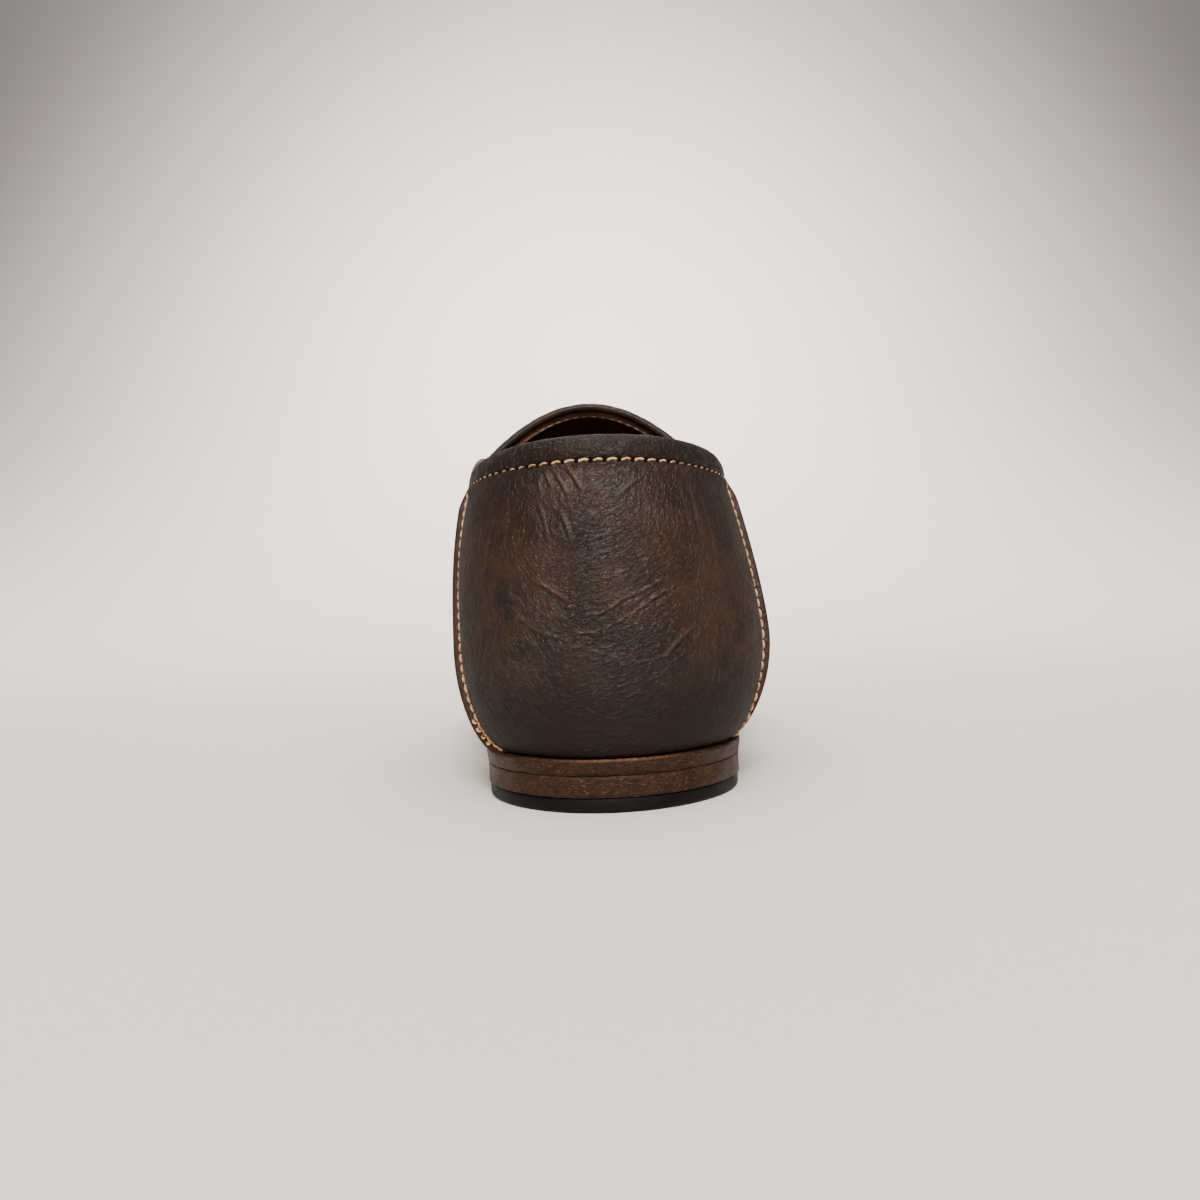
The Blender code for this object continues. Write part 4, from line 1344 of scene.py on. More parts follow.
        kinds = np.zeros(len(faces))
        kinds[(self.rows + len(self.rim)) * (self.columns - 1):] = 1
        outer = {
            # Lighter on the crease ridges in the middle of the panel: rubbed wear and a painted highlight
            "ridge": np.clip(2.0 * (main + 0.4 * small) * calm * bell(way, 24.0), 0, 1),
            # Painted shade: darker in the dent under the folds, towards the bottom of the panel and in the crease
            # troughs
            "hollow": np.clip(0.8 * hollow + 0.95 * smoothstep((34 - level) / 14) + np.clip(-3 * main, 0, 0.5), 0, 1),
            "matt": np.maximum(smoothstep((np.abs(way) - 16) / 16), smoothstep((36 - level) / 14)),
            "redness": np.clip(sum(row[0] * self.patch(way, level, *row[1:]) for row in self.red_patches), 0, 1),
            "smooth": 1 - self.worn(way, level) ** 0.7,
        }
        rest = len(points) - self.rows * self.columns
        marks = {key: np.concatenate([values.ravel(), np.zeros(rest)]) for key, values in outer.items()}
        lean = self.lie(way, level)
        near = [np.maximum(np.cos(2 * (lean - math.radians(own))), 0) ** 2 for own in LEANS]
        lie = np.stack(near, axis=-1) / sum(near)[..., None]
        lay = np.stack([way, np.zeros_like(way), level], axis=-1)
        for key, values in (("lie", lie), ("lay", lay)):
            marks[key] = np.concatenate([values.reshape(-1, 3), np.zeros((rest, 3))])
        self.add(
            "back_panel", (points, faces), [GrainedLeather(), LiningLeather()], "upper_leather", "upper",
            marks=marks, kinds=kinds,
        )
        self.skin, self.normals, self.way = skin, normals, way

    def sew(self, sewing: Sewing) -> None:
        """Sew the collar row."""
        top = self.skin[-1] - unit(self.skin[-1] - self.skin[-4]) * 0.15
        out = unit(self.normals[-1] + (0, 0, 0.35))
        way = self.way[-1]
        first = math.ceil((way[0] + 1.2) / self.stitch_pitch)
        last = math.floor((way[-1] - 1.2) / self.stitch_pitch)
        centres = np.arange(first, last + 1) * self.stitch_pitch

        def along(where: np.ndarray) -> Points:
            """Direction of the top edge at ways round it."""
            return read(where + 0.3, way, top) - read(where - 0.3, way, top)

        def share(where: np.ndarray) -> np.ndarray:
            """Share of their size that the stitches have: smaller towards the sides."""
            return 1 - 0.5 * smoothstep((np.abs(where) - 8) / 17)

        sewing.row(
            "collar_stitches", read(centres, way, top), unit(along(centres) + (0, 0, 0.07)),
            unit(read(centres, way, out)), self.stitch, share=share(centres),
        )
        gaps = centres[:-1] + self.stitch_pitch / 2
        sewing.row(
            "collar_stitch_holes", read(gaps, way, top) + (0.0, -0.05, 0.4), unit(along(gaps)),
            unit(read(gaps, way, self.normals[-1])), self.hole, thread=Thread.HOLE, share=share(gaps),
        )


@dataclass
class FrontPiece(SubAssembly):
    """Vamp and quarters in one: from side seam round the toe to side seam, sewn to the apron."""

    columns: int = 150
    rows: int = 84
    inside_rows: int = 26
    thick: float = 1.8
    proud: float = 1.7
    proud_fade: float = 14.0
    lip: float = 0.0022
    ridge: float = 1.5
    ridge_width: float = 2.0
    pucker_pitch: float = 4.2
    pucker: float = 0.3
    foot_fade: tuple[float, float] = (0.4, 0.06)  # rise over which the proud edge grows, lateral and medial
    stitch_pitch: float = 2.5
    stitch: tuple[float, float, float] = (2.2, 0.46, 0.5)
    stitch_slant: float = 0.28
    hole: tuple[float, float, float] = (0.75, 0.7, 1.4)
    second_stitch: tuple[float, float, float] = (2.0, 0.45, 0.45)
    second_slant: float = 0.4
    seam_rise: tuple[float, float] = (0.03, 0.93)
    second_rise: tuple[float, float] = (0.08, 0.2)
    # Places of the seam's rows before the edge, and of the second row beyond it; each with a neighbour
    row_places: tuple[float, float] = (-0.0042, -0.008)
    second_places: tuple[float, float] = (0.0008, 0.004)

    def half(self) -> tuple[np.ndarray, np.ndarray]:
        """Places of one side's columns from seam to toe, and how far the rounded edge sinks there."""
        seam = place_at(self.last.seam_share)
        turn = np.linspace(0, math.pi / 2, 7)
        lip = seam + self.lip * (1 - np.cos(turn))
        sink = (1 - np.sin(turn)) * (self.proud + 0.5)
        body = np.linspace(lip[-1], 1, self.columns)[1:]
        return np.concatenate([lip, body]), np.concatenate([sink, np.zeros(len(body))])

    def grid(self, rise: np.ndarray) -> Points:
        """Grid at shares of the piece's own height, from the lateral seam round to the medial one."""
        shares = share_at(self.half()[0])
        rises = rise[:, None] * self.last.front_rise(shares)[None]
        return round_toe(*(self.last.wall(side, shares[None], rises) for side in Side), axis=1)

    def build(self) -> None:
        """Make the piece."""
        rise = np.concatenate([np.linspace(0, 0.9, self.rows - 24), np.linspace(0.9, 1, 25)[1:]])
        face = self.grid(rise)
        normals = grid_normals(face)
        places, sink = self.half()
        shares = share_at(places)
        ahead = (shares - self.last.seam_share) * ENDS[Line.BELLY]["front"]
        proud = self.proud * (1 - smoothstep(ahead / self.proud_fade)) - sink
        head = 0.25 + 0.75 * smoothstep((0.99 - rise) / 0.1)
        sides = (proud[None] * (smoothstep(rise / foot) * head)[:, None] for foot in self.foot_fade)
        relief = round_toe(*sides, axis=1)

        drop = grid_way(face[::-1], 0)[::-1]
        throat = self.last.top_share(self.last.throat_y)
        sewn = smoothstep((shares - throat) / 0.015)
        sewn = round_toe(sewn, sewn)[None]
        arc = arc_length(face[-1])
        gather = np.cos(2 * math.pi * arc / self.pucker_pitch)[None]
        stand = self.ridge * bell(drop, self.ridge_width) * sewn
        relief = relief - self.pucker * (0.5 + 0.5 * gather) * bell(drop - 2.2, 2.4) * sewn
        standing = round_toe(*(self.last.ridge_direction(side, shares) for side in Side))[None]
        blended = bell(drop, 2.5)[..., None] * sewn[..., None]
        direction = unit(normals * (1 - blended) + standing * blended)
        skin = raised(raised(face, normals, relief), direction, stand)

        inside = self.grid(np.linspace(1, 0, self.inside_rows))
        inside = raised(inside, grid_normals(inside), self.thick)
        points, faces = loft(np.concatenate([skin, inside]))
        columns = face.shape[1]
        kinds = np.zeros(len(faces))
        kinds[len(rise) * (columns - 1):] = 1
        edge = round_toe(sink > 0, sink > 0).astype(float)
        lining = np.zeros(self.inside_rows * columns)
        marks = {
            "raw_edge": np.concatenate([np.tile(0.12 * edge, len(rise)), lining]),
            # lighter on the raised seam's crest: rubbed wear and painted highlight
            "ridge": np.concatenate([(0.35 * stand / self.ridge).ravel(), lining]),
            "smooth": 0.3,
            "matt": 0.15,
        }
        self.add(
            "front_piece", (points, faces), [GrainedLeather(), LiningLeather()], "upper_leather", "upper",
            marks=marks, kinds=kinds,
        )

    def sew(self, sewing: Sewing) -> None:
        """Sew the side seams through the panel's edge."""
        seam = place_at(self.last.seam_share)
        rise = np.linspace(*self.seam_rise, 160)
        for side in Side:
            path, beside = (self.last.wall(side, share_at(np.array(seam + off)), rise) for off in self.row_places)
            along = np.gradient(path, axis=0)
            out = unit(np.cross(path - beside, along) * side.value)
            name = f"side_seam_{side.name.lower()}"
            slant = self.stitch_slant * side.value
            sewing.along_path(
                f"{name}_stitches", path, out, self.stitch_pitch, self.stitch, lift=-0.05, slant=slant,
            )
            sewing.along_path(
                f"{name}_holes", path, out, self.stitch_pitch, self.hole, lift=-0.1, start=1.0, thread=Thread.HOLE,
            )
        low = np.linspace(*self.second_rise, 40)
        path, beside = (self.last.wall(Side.MEDIAL, share_at(np.array(seam + off)), low) for off in self.second_places)
        out = unit(np.cross(np.gradient(path, axis=0), path - beside))
        out *= np.sign((out * (-1.0, 0.0, 0.0)).sum(axis=-1, keepdims=True))
        out = unit(out + (0.0, -0.8, 0.0))
        sewing.along_path(
            "side_seam_second_stitches", path, out, self.stitch_pitch, self.second_stitch, lift=0.9,
            slant=self.second_slant,
        )


@dataclass
class ApronPiece(SubAssembly):
    """Plug over the toes, with the tongue at its back edge."""

    along: int = 150
    across: int = 101
    thick: float = 1.8
    ridge: float = 1.5
    ridge_width: float = 1.8
    groove: float = 0.5
    facing: tuple[float, float] = (0.45, 1.1)  # half the thickness and half the height of the lining's turned edge
    stitch_pitch: float = 3.2
    stitch: tuple[float, float, float] = (2.6, 0.8, 0.7)
    tongue_pitch: float = 2.8
    tongue_stitch: tuple[float, float, float] = (1.7, 0.42, 0.4)
    ends: tuple[float, float] = (0.9996, 0.9985)  # places at the toe where the piece and its seam's rows end

    def build(self) -> None:
        """Make the piece."""
        throat = place_at(self.last.top_share(self.last.throat_y))
        shares = share_at(np.linspace(throat, self.ends[0], self.along))
        reach = np.linspace(-1, 1, self.across)
        across = np.sign(reach) * (1 - (1 - np.abs(reach)) ** 1.5)
        face = self.last.apron(shares[:, None], across[None])
        normals = grid_normals(face)
        way = grid_way(face, 1)
        rim_shares = share_at(np.linspace(throat, 1, 700))
        rim = np.concatenate([self.last.wall(side, rim_shares, np.ones_like(rim_shares)) for side in Side])
        edge = np.minimum(np.minimum(way, way[:, -1:] - way), nearest(face, rim))
        sewn = smoothstep((shares - shares[0]) / 0.015)[:, None]
        stand = self.ridge * bell(edge, self.ridge_width) * sewn
        turn = smoothstep(0.5 + 0.8 * across)[None, :, None]
        lateral, medial = (self.last.ridge_direction(side, shares)[:, None] for side in Side)
        sides = unit(lateral * turn + medial * (1 - turn))
        blended = bell(edge, 2.5)[..., None] * sewn[..., None]
        direction = unit(normals * (1 - blended) + sides * blended)
        skin = raised(face, direction, stand - self.groove * bell(edge, 0.35) * sewn)
        inner = raised(face, normals, -self.thick)
        points, faces = thick_sheet(skin, inner)
        kinds = np.zeros(len(faces))
        count = (self.along - 1) * (self.across - 1)
        kinds[count:2 * count] = 1
        # Lighter on the raised seam's crest: rubbed wear and painted highlight
        ridge = np.concatenate([(0.35 * stand / self.ridge).ravel(), np.zeros(stand.size)])
        self.add(
            "apron_piece", (points, faces), [GrainedLeather(), LiningLeather()], "upper_leather", "upper",
            marks={"ridge": ridge, "smooth": 0.3, "matt": 0.1}, kinds=kinds,
        )
        self.inner, self.normals, self.shares = inner, normals, shares
        self.build_facing()

    def build_facing(self) -> None:
        """Make the turned edge of the lining under the tongue's binding."""
        line, down = self.inner[0, 3:-3], -self.normals[0, 3:-3]
        ahead = unit(self.inner[1, 3:-3] - line)
        turn = np.linspace(0, 2 * math.pi, 14, endpoint=False)[:, None, None]
        wide, tall = self.facing
        rings = line + ahead * (0.7 + wide * np.cos(turn)) + down * (0.8 * tall + tall * np.sin(turn))
        # Painted light: a lighter copy of the lining leather, so the turned edge looks lit though it sits in the shade
        # inside the shoe
        finish = LiningLeather(name="turned_lining_edge", dark="#3E2618", light="#6A4128")
        self.add("tongue_facing", turned_loft(rings), [finish], "lining_leather")
        self.facing_row = line + ahead * (0.7 - 0.6 * wide) + down * 1.55 * tall
        self.facing_out = unit(down * 0.5 - ahead)

    def sew(self, sewing: Sewing) -> None:
        """Sew the raised apron seam and the row on the tongue's lining."""
        shares = share_at(np.linspace(place_at(self.shares[0] + 0.006), self.ends[1], 220))
        lateral, medial = (self.last.wall(side, shares, np.ones_like(shares)) for side in Side)
        edge = np.concatenate([lateral, medial[::-1]])
        lateral, medial = (self.last.ridge_direction(side, shares) for side in Side)
        stand = np.concatenate([lateral, medial[::-1]])
        sewing.along_path(
            "apron_seam_stitches", edge + stand * (self.ridge - 0.2), stand, self.stitch_pitch, self.stitch,
        )
        sewing.along_path(
            "tongue_lining_stitches", self.facing_row, self.facing_out, self.tongue_pitch, self.tongue_stitch,
            slot="lining_leather", finish=WaxedThread(name="cream_lining_thread", dark="#40332A", tan="#80705E"),
        )


@dataclass
class Collar(SubAssembly):
    """Soft folded band round the back topline and the rolled binding of the front topline."""

    columns: int = 301
    loop: int = 44
    # Way round the band's section: share of the band below its top, and height over the wall
    section: tuple = (
        (1.06, -0.75), (0.94, -0.15), (0.78, 0.32), (0.56, 0.52), (0.34, 0.45), (0.16, 0.1), (0.04, -0.55),
        (0.0, -1.35), (0.07, -2.15), (0.24, -2.7), (0.5, -2.95), (0.78, -2.8), (0.98, -2.3), (1.08, -1.5),
    )
    overlap: float = 0.0004  # share of the length by which the band goes past the side seams
    wall_height: float = 78.0
    binding_radius: float = 1.25
    binding_sides: int = 18

    def build(self) -> None:
        """Make the band and the binding."""
        self.build_band()
        self.build_binding()

    def build_band(self) -> None:
        """Make the folded band."""
        rows = np.array(self.section + self.section[:1])
        way = arc_length(rows * (self.last.collar_share * self.wall_height, 1.0))
        at = np.linspace(0, way[-1], self.loop, endpoint=False)
        below, height = (spline(way, rows[:, k], at) for k in range(2))
        end = self.last.seam_share + self.overlap
        grid = self.last.round_heel(end, self.columns, 1 - self.last.collar_share * below)
        sample = self.last.round_heel(end, self.columns, np.linspace(0.86, 1.0, 8))
        normals = grid_normals(sample)[4][None]
        length = arc_length(grid[0])
        length -= length[len(length) // 2]
        crinkle = 0.04 * np.sin(length * 1.7 + 2.2 * np.sin(length / 3.1)) * smoothstep((np.abs(length) - 14) / 14)
        crinkle = crinkle + 0.07 * np.sin(length * 0.83 + 2) + 0.05 * np.sin(length * 1.37)
        outside = bell(below - 0.45, 0.35) * (height > -1.0)
        skin = raised(grid, normals, height[:, None] + crinkle[None] * outside[:, None])
        upright = np.broadcast_to(smoothstep((np.abs(length) - 10) / 12), skin.shape[:2])
        lie = np.stack([0.5 * (1 - upright), 0.25 + 0.75 * upright, 0.25 * (1 - upright)], axis=-1)
        # Painted shade: the band's colour is darkened all along, most where it stands upright at the sides
        self.add(
            "collar_fold", turned_loft(skin), [GrainedLeather("collar_calf_leather", shine=0.14)],
            "upper_leather", "collar_band",
            marks={"lie": lie.reshape(-1, 3), "matt": (0.9 * upright).ravel(), "hollow": 0.6 + 0.3 * upright.ravel()},
        )

    def build_binding(self) -> None:
        """Make the rolled binding on the front top edge, over the tongue."""
        last = self.last
        throat = last.top_share(last.throat_y)
        run = np.linspace(last.seam_share - 0.0006, throat, 70)[:-1]
        rise = last.front_rise(run)
        sides = {side: last.wall(side, run, rise) for side in Side}
        ups = {side: unit(sides[side] - last.wall(side, run, rise * 0.95)) for side in Side}
        across = np.linspace(1, -1, 91)
        share = np.full_like(across, throat)
        arch = last.apron(share, across)
        arch_up = unit(arch - last.apron(share + 0.002, across))
        edge = np.concatenate([sides[Side.LATERAL], arch, sides[Side.MEDIAL][::-1]])
        up = np.concatenate([ups[Side.LATERAL], arch_up, ups[Side.MEDIAL][::-1]])
        outward = unit(np.cross(np.gradient(edge, axis=0), up))
        path = edge + up * (self.binding_radius + 0.15) - outward * last.wall_thick / 2
        path = eased(even(path, 0.6), 6)
        along = unit(np.gradient(path, axis=0))
        first = unit(np.cross(along, (0.0, 0.35, 1.0)))
        length = arc_length(path)
        radii = self.binding_radius * (1 + 0.03 * np.sin(length * 0.9) + 0.02 * np.sin(length * 2.3 + 1))
        rings = tube(path, first, np.cross(first, along), radii[None], self.binding_sides)
        self.add(
            "topline_binding", turned_loft(rings), [GrainedLeather(
                name="rolled_calf_binding", dark="#1A110C", brown="#2B1D15", pebble_depth=0.02,
                wrinkle_depth=0.05, gloss=(0.34, 0.44), shine=0.12,
            )], "upper_leather", "throat_binding",
        )


@dataclass
class SoleStack(SubAssembly):
    """Outsole, stacked leather lift and rubber top piece."""

    columns: int = 240
    heel_columns: int = 120
    edge_taper: float = 0.4
    edge_belly: float = 0.35
    lift_inset: float = 0.4
    # From the lowest to the highest ring of the lift: inset, and height over the top piece
    lift_levels: tuple = (
        (0.5, -0.2), (0.08, -0.18), (0.0, -0.08), (0.03, 1.2), (0.05, 2.2), (0.02, 3.2), (0.0, 4.12), (0.06, 4.2),
    )
    top_piece: float = 3.1
    top_piece_inset: float = 0.7
    top_piece_round: float = 0.9

    def build(self) -> None:
        """Make the three layers."""
        self.build_outsole()
        self.build_heel()

    def fray(self, ring: Points) -> np.ndarray:
        """How much the sole's upper edge is frayed: most behind the heel."""
        teeth = 0.5 + 0.5 * np.sin(ring[:, 0] * 5.1 + 1.9 * np.sin(ring[:, 0] * 1.3))
        middle = bell(ring[:, 0] - 0.5, 11.0) * (ring[:, 1] < 20)
        return middle * (0.35 + 0.65 * teeth)

    def build_outsole(self) -> None:
        """Make the sole with its inked edge and flat tread."""
        thick, taper, belly = self.last.outsole, self.edge_taper, self.edge_belly
        levels = [(taper + 1.0, 0.0), (taper + 0.15, 0.0), (taper, 0.12)]
        levels += [(taper / 2, thick * belly), (taper / 8, thick * 0.62), (0.0, thick - 0.55)]
        levels += [(0.03, thick - 0.25), (0.2, thick - 0.04), (0.45, thick), (1.2, thick), (4.0, thick)]
        rings = [self.last.sole_loop(self.columns, inset, height) for inset, height in levels]
        frayed = [np.zeros(len(rings[0]))] * 6 + [self.fray(ring) for ring in rings[6:9]]
        frayed += [np.zeros(len(rings[0]))] * (len(rings) - 9)
        for ring, share in zip(rings[6:9], frayed[6:9]):
            ring[:, 2] += 0.16 * share
            ring[:, 1] -= 0.12 * share
        self.add(
            "leather_outsole", stack(rings), [SoleEdge()], "sole_leather", "outsole",
            marks={"frayed": np.concatenate(frayed)},
        )

    def heel_ring(self, inset: float, z: float) -> Points:
        """Loop of the heel at one height: the sole's outline up to the straight breast."""
        ends = ENDS[Line.SOLE]
        share = (self.last.breast_y - ends["back"] - 2 * inset) / (ends["front"] - ends["back"] - 2 * inset)
        shares = share_at(np.linspace(0, place_at(share), self.heel_columns))
        lateral, medial = (
            np.stack(self.last.edge_line(Line.SOLE, side, shares, inset), axis=-1) for side in Side
        )
        loop = np.concatenate([lateral, medial[:0:-1]])
        return np.column_stack([loop, np.full(len(loop), z)])

    def build_heel(self) -> None:
        """Make the lift and the top piece."""
        base = self.top_piece + self.last.gap
        rings = [self.heel_ring(self.lift_inset + inset, base + height) for inset, height in self.lift_levels]
        warm = SoleEdge("stacked_lift_leather", dark="#1B100A", brown="#321E12", light="#70472C", fibre=(1.6, 0.24))
        self.add("leather_lift", stack(rings), [warm], "sole_leather", "heel_lift")
        pad = []
        for turn in np.linspace(0, math.pi / 2, 9):
            inset = self.top_piece_inset + self.top_piece_round * (1 - math.sin(turn))
            pad.append(self.heel_ring(inset, self.top_piece_round * (1 - math.cos(turn))))
        high = self.top_piece
        for inset, height in ((0.0, 1.8), (0.0, high - 0.3), (0.1, high - 0.08), (0.35, high)):
            pad.append(self.heel_ring(self.top_piece_inset + inset, height))
        self.add("rubber_top_piece", stack(pad), [MouldedRubber()], "rubber", "heel_top_piece")


@dataclass
class Insole(SubAssembly):
    """Sock-covered board inside the shoe."""

    columns: int = 160
    thick: float = 2.2
    ease: float = 1.3
    margin: float = 4.0

    def build(self) -> None:
        """Make the board with its rounded edge."""
        last = self.last
        wide = last.feather_inset + self.ease
        narrow = last.feather_inset + self.margin + 2 * last.gap
        ledge = last.outsole + last.wall_thick + 2 * last.gap
        levels = [(narrow, last.outsole + last.gap), (narrow, ledge), (wide, ledge), (wide, ledge + 1.2)]
        levels += [(wide + 0.1, ledge + 1.6), (wide + 0.4, ledge + 2.0), (wide + 0.8, ledge + self.thick)]
        levels += [(wide + 3.0, ledge + self.thick + 0.05)]
        rings = [last.sole_loop(self.columns, inset, height) for inset, height in levels]
        self.add("sock_insole", stack(rings), [LiningLeather()], "lining_leather", "insole")


@dataclass
class SnaffleBit(SubAssembly):
    """Metal bit over the apron: two rings and a bar, held by folded leather tabs."""

    bit_y: float = 134.0
    ring_arc: float = 19.0
    ring_radius: float = 7.5
    wire_radius: float = 1.5
    ring_lift: float = 3.2
    bar_lift: float = 3.3
    bar_droop: float = 0.75
    tab_thick: float = 1.4
    tab_width: float = 7.0
    tab_end_arc: float = 35.0
    tab_loop: float = 2.85
    tab_shift: float = 1.1
    tab_rows: tuple = ((1.9, 0.0), (5.0, 1.6))  # way beyond the wire, and drop
    tab_run: float = 3.0
    # From the middle of the bar to its end: place and radius
    bar_rows: tuple = (
        (0.0, 2.6), (0.12, 2.6), (0.15, 2.4), (0.18, 1.9), (0.3, 1.7), (0.6, 1.45), (0.62, 1.9),
        (0.65, 2.2), (0.79, 2.2), (0.82, 1.9), (0.84, 1.5), (1.0, 1.4),
    )

    def over_apron(self, arc: np.ndarray, height: np.ndarray | float, ahead: np.ndarray | float = 0.0) -> Points:
        """Points above the apron.

        Args:
            arc: way over the apron from its middle.
            height: height over the leather.
            ahead: way towards the toe.

        Returns:
            Points in millimetres.
        """
        across = np.linspace(-1, 1, 241)
        share = np.full_like(across, self.last.top_share(self.bit_y))
        line = self.last.apron(share, across)
        toeward = unit(self.last.apron(share + 0.002, across) - line)
        normal = unit(np.cross(np.gradient(line, axis=0), toeward))
        arcs = arc_length(line)
        arcs -= arcs[-1] / 2
        point, up, front = (read(arc, arcs, column) for column in (line, normal, toeward))
        return point + up * np.asarray(height)[..., None] + front * np.asarray(ahead)[..., None]

    def ring(self, side: Side) -> tuple[Points, Faces]:
        """One ring, lying flat over the side of the apron."""
        arc = side.value * self.ring_arc
        middle = self.over_apron(arc, self.ring_lift)
        outwards = unit(self.over_apron(arc + 1.5, self.ring_lift) - self.over_apron(arc - 1.5, self.ring_lift))
        toeward = unit(self.over_apron(arc, self.ring_lift, 1.0) - middle)
        turn = np.linspace(0, 2 * math.pi, 64, endpoint=False)[:, None]
        radial = np.cos(turn) * outwards + np.sin(turn) * toeward
        axis = np.broadcast_to(np.cross(outwards, toeward), radial.shape)
        rings = tube(middle + radial * self.ring_radius, radial, axis, np.float64(self.wire_radius), 18)
        return rings.reshape(-1, 3), grid_faces(18, 64, True, True)

    def bar(self) -> tuple[Points, Faces]:
        """The bar with its barrel and collars."""
        rows = np.array(self.bar_rows)
        place = np.linspace(-1, 1, 121)
        radius = eased(np.interp(np.abs(place), rows[:, 0], rows[:, 1])[:, None], 2)[:, 0]
        arc = place * (self.ring_arc - self.ring_radius)
        path = self.over_apron(arc, self.bar_lift + self.bar_droop * place**2)
        along = unit(np.gradient(path, axis=0))
        toeward = unit(self.over_apron(arc, self.bar_lift, 1.0) - self.over_apron(arc, self.bar_lift))
        rings = tube(path, np.cross(toeward, along), toeward, radius[None], 20)
        return turned_loft(rings)

    def tab(self, side: Side) -> Points:
        """Rings of a tab: up from the apron seam, round the wire and back on itself."""
        wire = self.ring_arc + self.ring_radius
        low = self.last.gap + self.tab_thick / 2
        high = low + 2 * self.tab_loop
        fold = [
            (wire - self.tab_shift - self.tab_loop * math.sin(turn), low + self.tab_loop * (1 - math.cos(turn)))
            for turn in np.linspace(0, math.pi, 19)
        ]
        back = [(wire + beyond, high - drop) for beyond, drop in self.tab_rows]
        end = (self.tab_end_arc, low + self.tab_thick + 0.36)
        line = np.array([(self.tab_end_arc, low), (wire + self.tab_run, low), *fold, *back, end])
        line = eased(even(line, 0.4), 3)
        along = unit(np.gradient(line, axis=0))
        off = np.column_stack([-along[:, 1], along[:, 0]])
        turn = np.linspace(0, 2 * math.pi, 24, endpoint=False)
        wide = np.sign(np.cos(turn)) * np.abs(np.cos(turn)) ** 0.35 * self.tab_width / 2
        thick = np.sign(np.sin(turn)) * np.abs(np.sin(turn)) ** 0.55 * self.tab_thick / 2
        rings = []
        for edge, lift in zip(wide, thick):
            arc, height = (line + off * lift).T
            rings.append(self.over_apron(side.value * arc, height, np.full(len(arc), edge)))
        return np.stack(rings)

    def build(self) -> None:
        """Make the bit and its tabs."""
        shapes = [self.bar(), *(self.ring(side) for side in Side)]
        self.add("snaffle_bit", joined(shapes), [AgedBrass()], "brass", "bit")
        for side in Side:
            name = side.name.lower()
            self.add(
                f"leather_tab_{name}", turned_loft(self.tab(side)), [GrainedLeather()], "upper_leather",
                f"bit_tab_{name}", marks={"smooth": 0.7, "matt": 0.2},
            )


# ---------------------------------------------------------------- studio


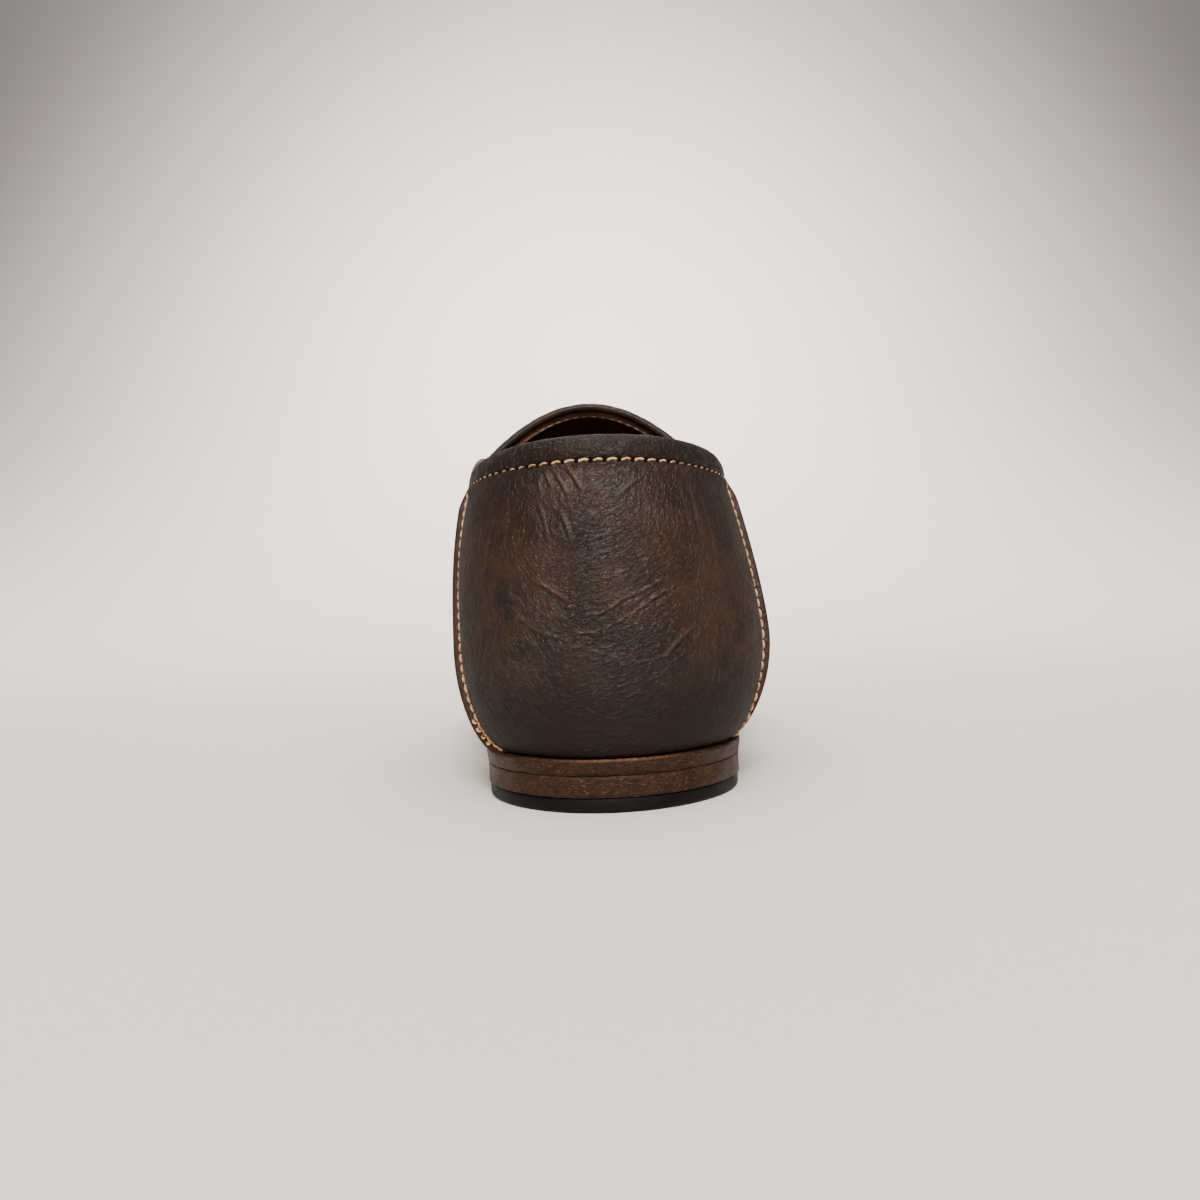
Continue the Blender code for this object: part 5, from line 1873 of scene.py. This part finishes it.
@dataclass
class Studio:
    """Pale seamless floor, soft light and the camera straight behind the heel."""

    last: Last
    finishes: Finishes
    focal_px: float = 1097.0
    image_px: float = 1200.0
    sensor: float = 36.0
    back: float = 220.0
    eye: float = 40.5
    aside: float = -1.5
    tilt_px: float = 15.0
    roll: float = 2.2
    half_width: float = 3000.0
    near: float = -2500.0
    far: float = 2000.0
    cove: float = 1500.0
    wall_height: float = 2600.0
    # Softboxes: name, place and aim in metres, width and height, watts
    lamps: tuple = (
        ("key_softbox", (0.0, -1.35, 1.2), (0.0, -0.14, 0.05), (2.2, 0.4), 35.0),
        ("shine_softbox", (0.05, -1.54, 1.12), (0.0, -0.14, 0.05), (0.45, 0.36), 35.0),
        ("top_softbox", (0.0, 0.0, 1.1), (0.0, 0.0, 0.0), (1.0, 1.0), 7.0),
        ("paper_light", (0.0, 0.7, 1.6), (0.0, 2.0, 0.8), (1.6, 0.6), 92.0),
    )
    room_colour: str = "#F4F1EE"
    room_strength: float = 0.28

    def sweep(self) -> None:
        """Floor that curves up into the background."""
        turn = np.linspace(0, math.pi / 2, 25)
        cove_y = self.far - self.cove + self.cove * np.sin(turn)
        cove_z = self.cove * (1 - np.cos(turn))
        y = np.concatenate([np.linspace(self.near, self.far - self.cove, 9)[:-1], cove_y, [self.far]])
        z = np.concatenate([np.zeros(8), cove_z, [self.wall_height]])
        x = np.linspace(-self.half_width, self.half_width, 9)
        grid = np.stack(np.broadcast_arrays(x[None], y[:, None], z[:, None]), axis=-1)
        mesh = new_mesh("paper_sweep", grid.reshape(-1, 3) * MM, grid_faces(len(y), len(x), False, False))
        mesh.materials.append(self.finishes.of(PaperSweep()))
        floor = new_object("paper_sweep", mesh)

    def light(self) -> None:
        """Softboxes behind and over the shoe, and an even room light."""
        for name, place, aim, (width, height), power in self.lamps:
            light = bpy.data.lights.new(name, "AREA")
            light.shape = "RECTANGLE"
            light.size, light.size_y = width, height
            light.energy = power
            lamp = new_object(name, light)
            lamp.location = place
            lamp.rotation_euler = (Vector(aim) - Vector(place)).to_track_quat("-Z", "Y").to_euler()
        world = bpy.data.worlds.new("studio_room")
        world.use_nodes = True
        room = world.node_tree.nodes["Background"]
        room.inputs["Color"].default_value = linear(self.room_colour)
        room.inputs["Strength"].default_value = self.room_strength
        bpy.context.scene.world = world

    def camera(self) -> None:
        """Camera at the photograph's viewing angle."""
        lens = bpy.data.cameras.new("camera")
        lens.sensor_width = self.sensor
        lens.lens = self.sensor * self.focal_px / self.image_px
        lens.clip_start = 0.001
        camera = new_object("camera", lens)
        place = Vector((self.aside, -self.back, self.eye)) + Vector(self.last.shift)
        pitch = math.atan(self.tilt_px / self.focal_px)
        camera.matrix_world = (
            Matrix.Translation(place * MM) @ Matrix.Rotation(math.pi / 2 + pitch, 4, "X")
            @ Matrix.Rotation(-math.radians(self.roll), 4, "Z")
        )
        bpy.context.scene.camera = camera

    def build(self) -> None:
        """Set up the studio."""
        self.sweep()
        self.light()
        self.camera()


def main() -> None:
    """Build the shoe from the floor up, sew it and set up the studio."""
    logging.basicConfig(level=logging.INFO, format="%(name)s %(message)s")
    last = Last.in_frame()
    finishes = Finishes()
    sewing = Sewing(last, finishes)
    for part in (SoleStack(last, finishes), Insole(last, finishes)):
        part.build()
    for part in (BackPanel(last, finishes), FrontPiece(last, finishes), ApronPiece(last, finishes)):
        part.build()
        part.sew(sewing)
    for part in (Collar(last, finishes), SnaffleBit(last, finishes)):
        part.build()
    sewing.put_away()
    Studio(last, finishes).build()
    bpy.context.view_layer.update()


if __name__ == "__main__":
    main()
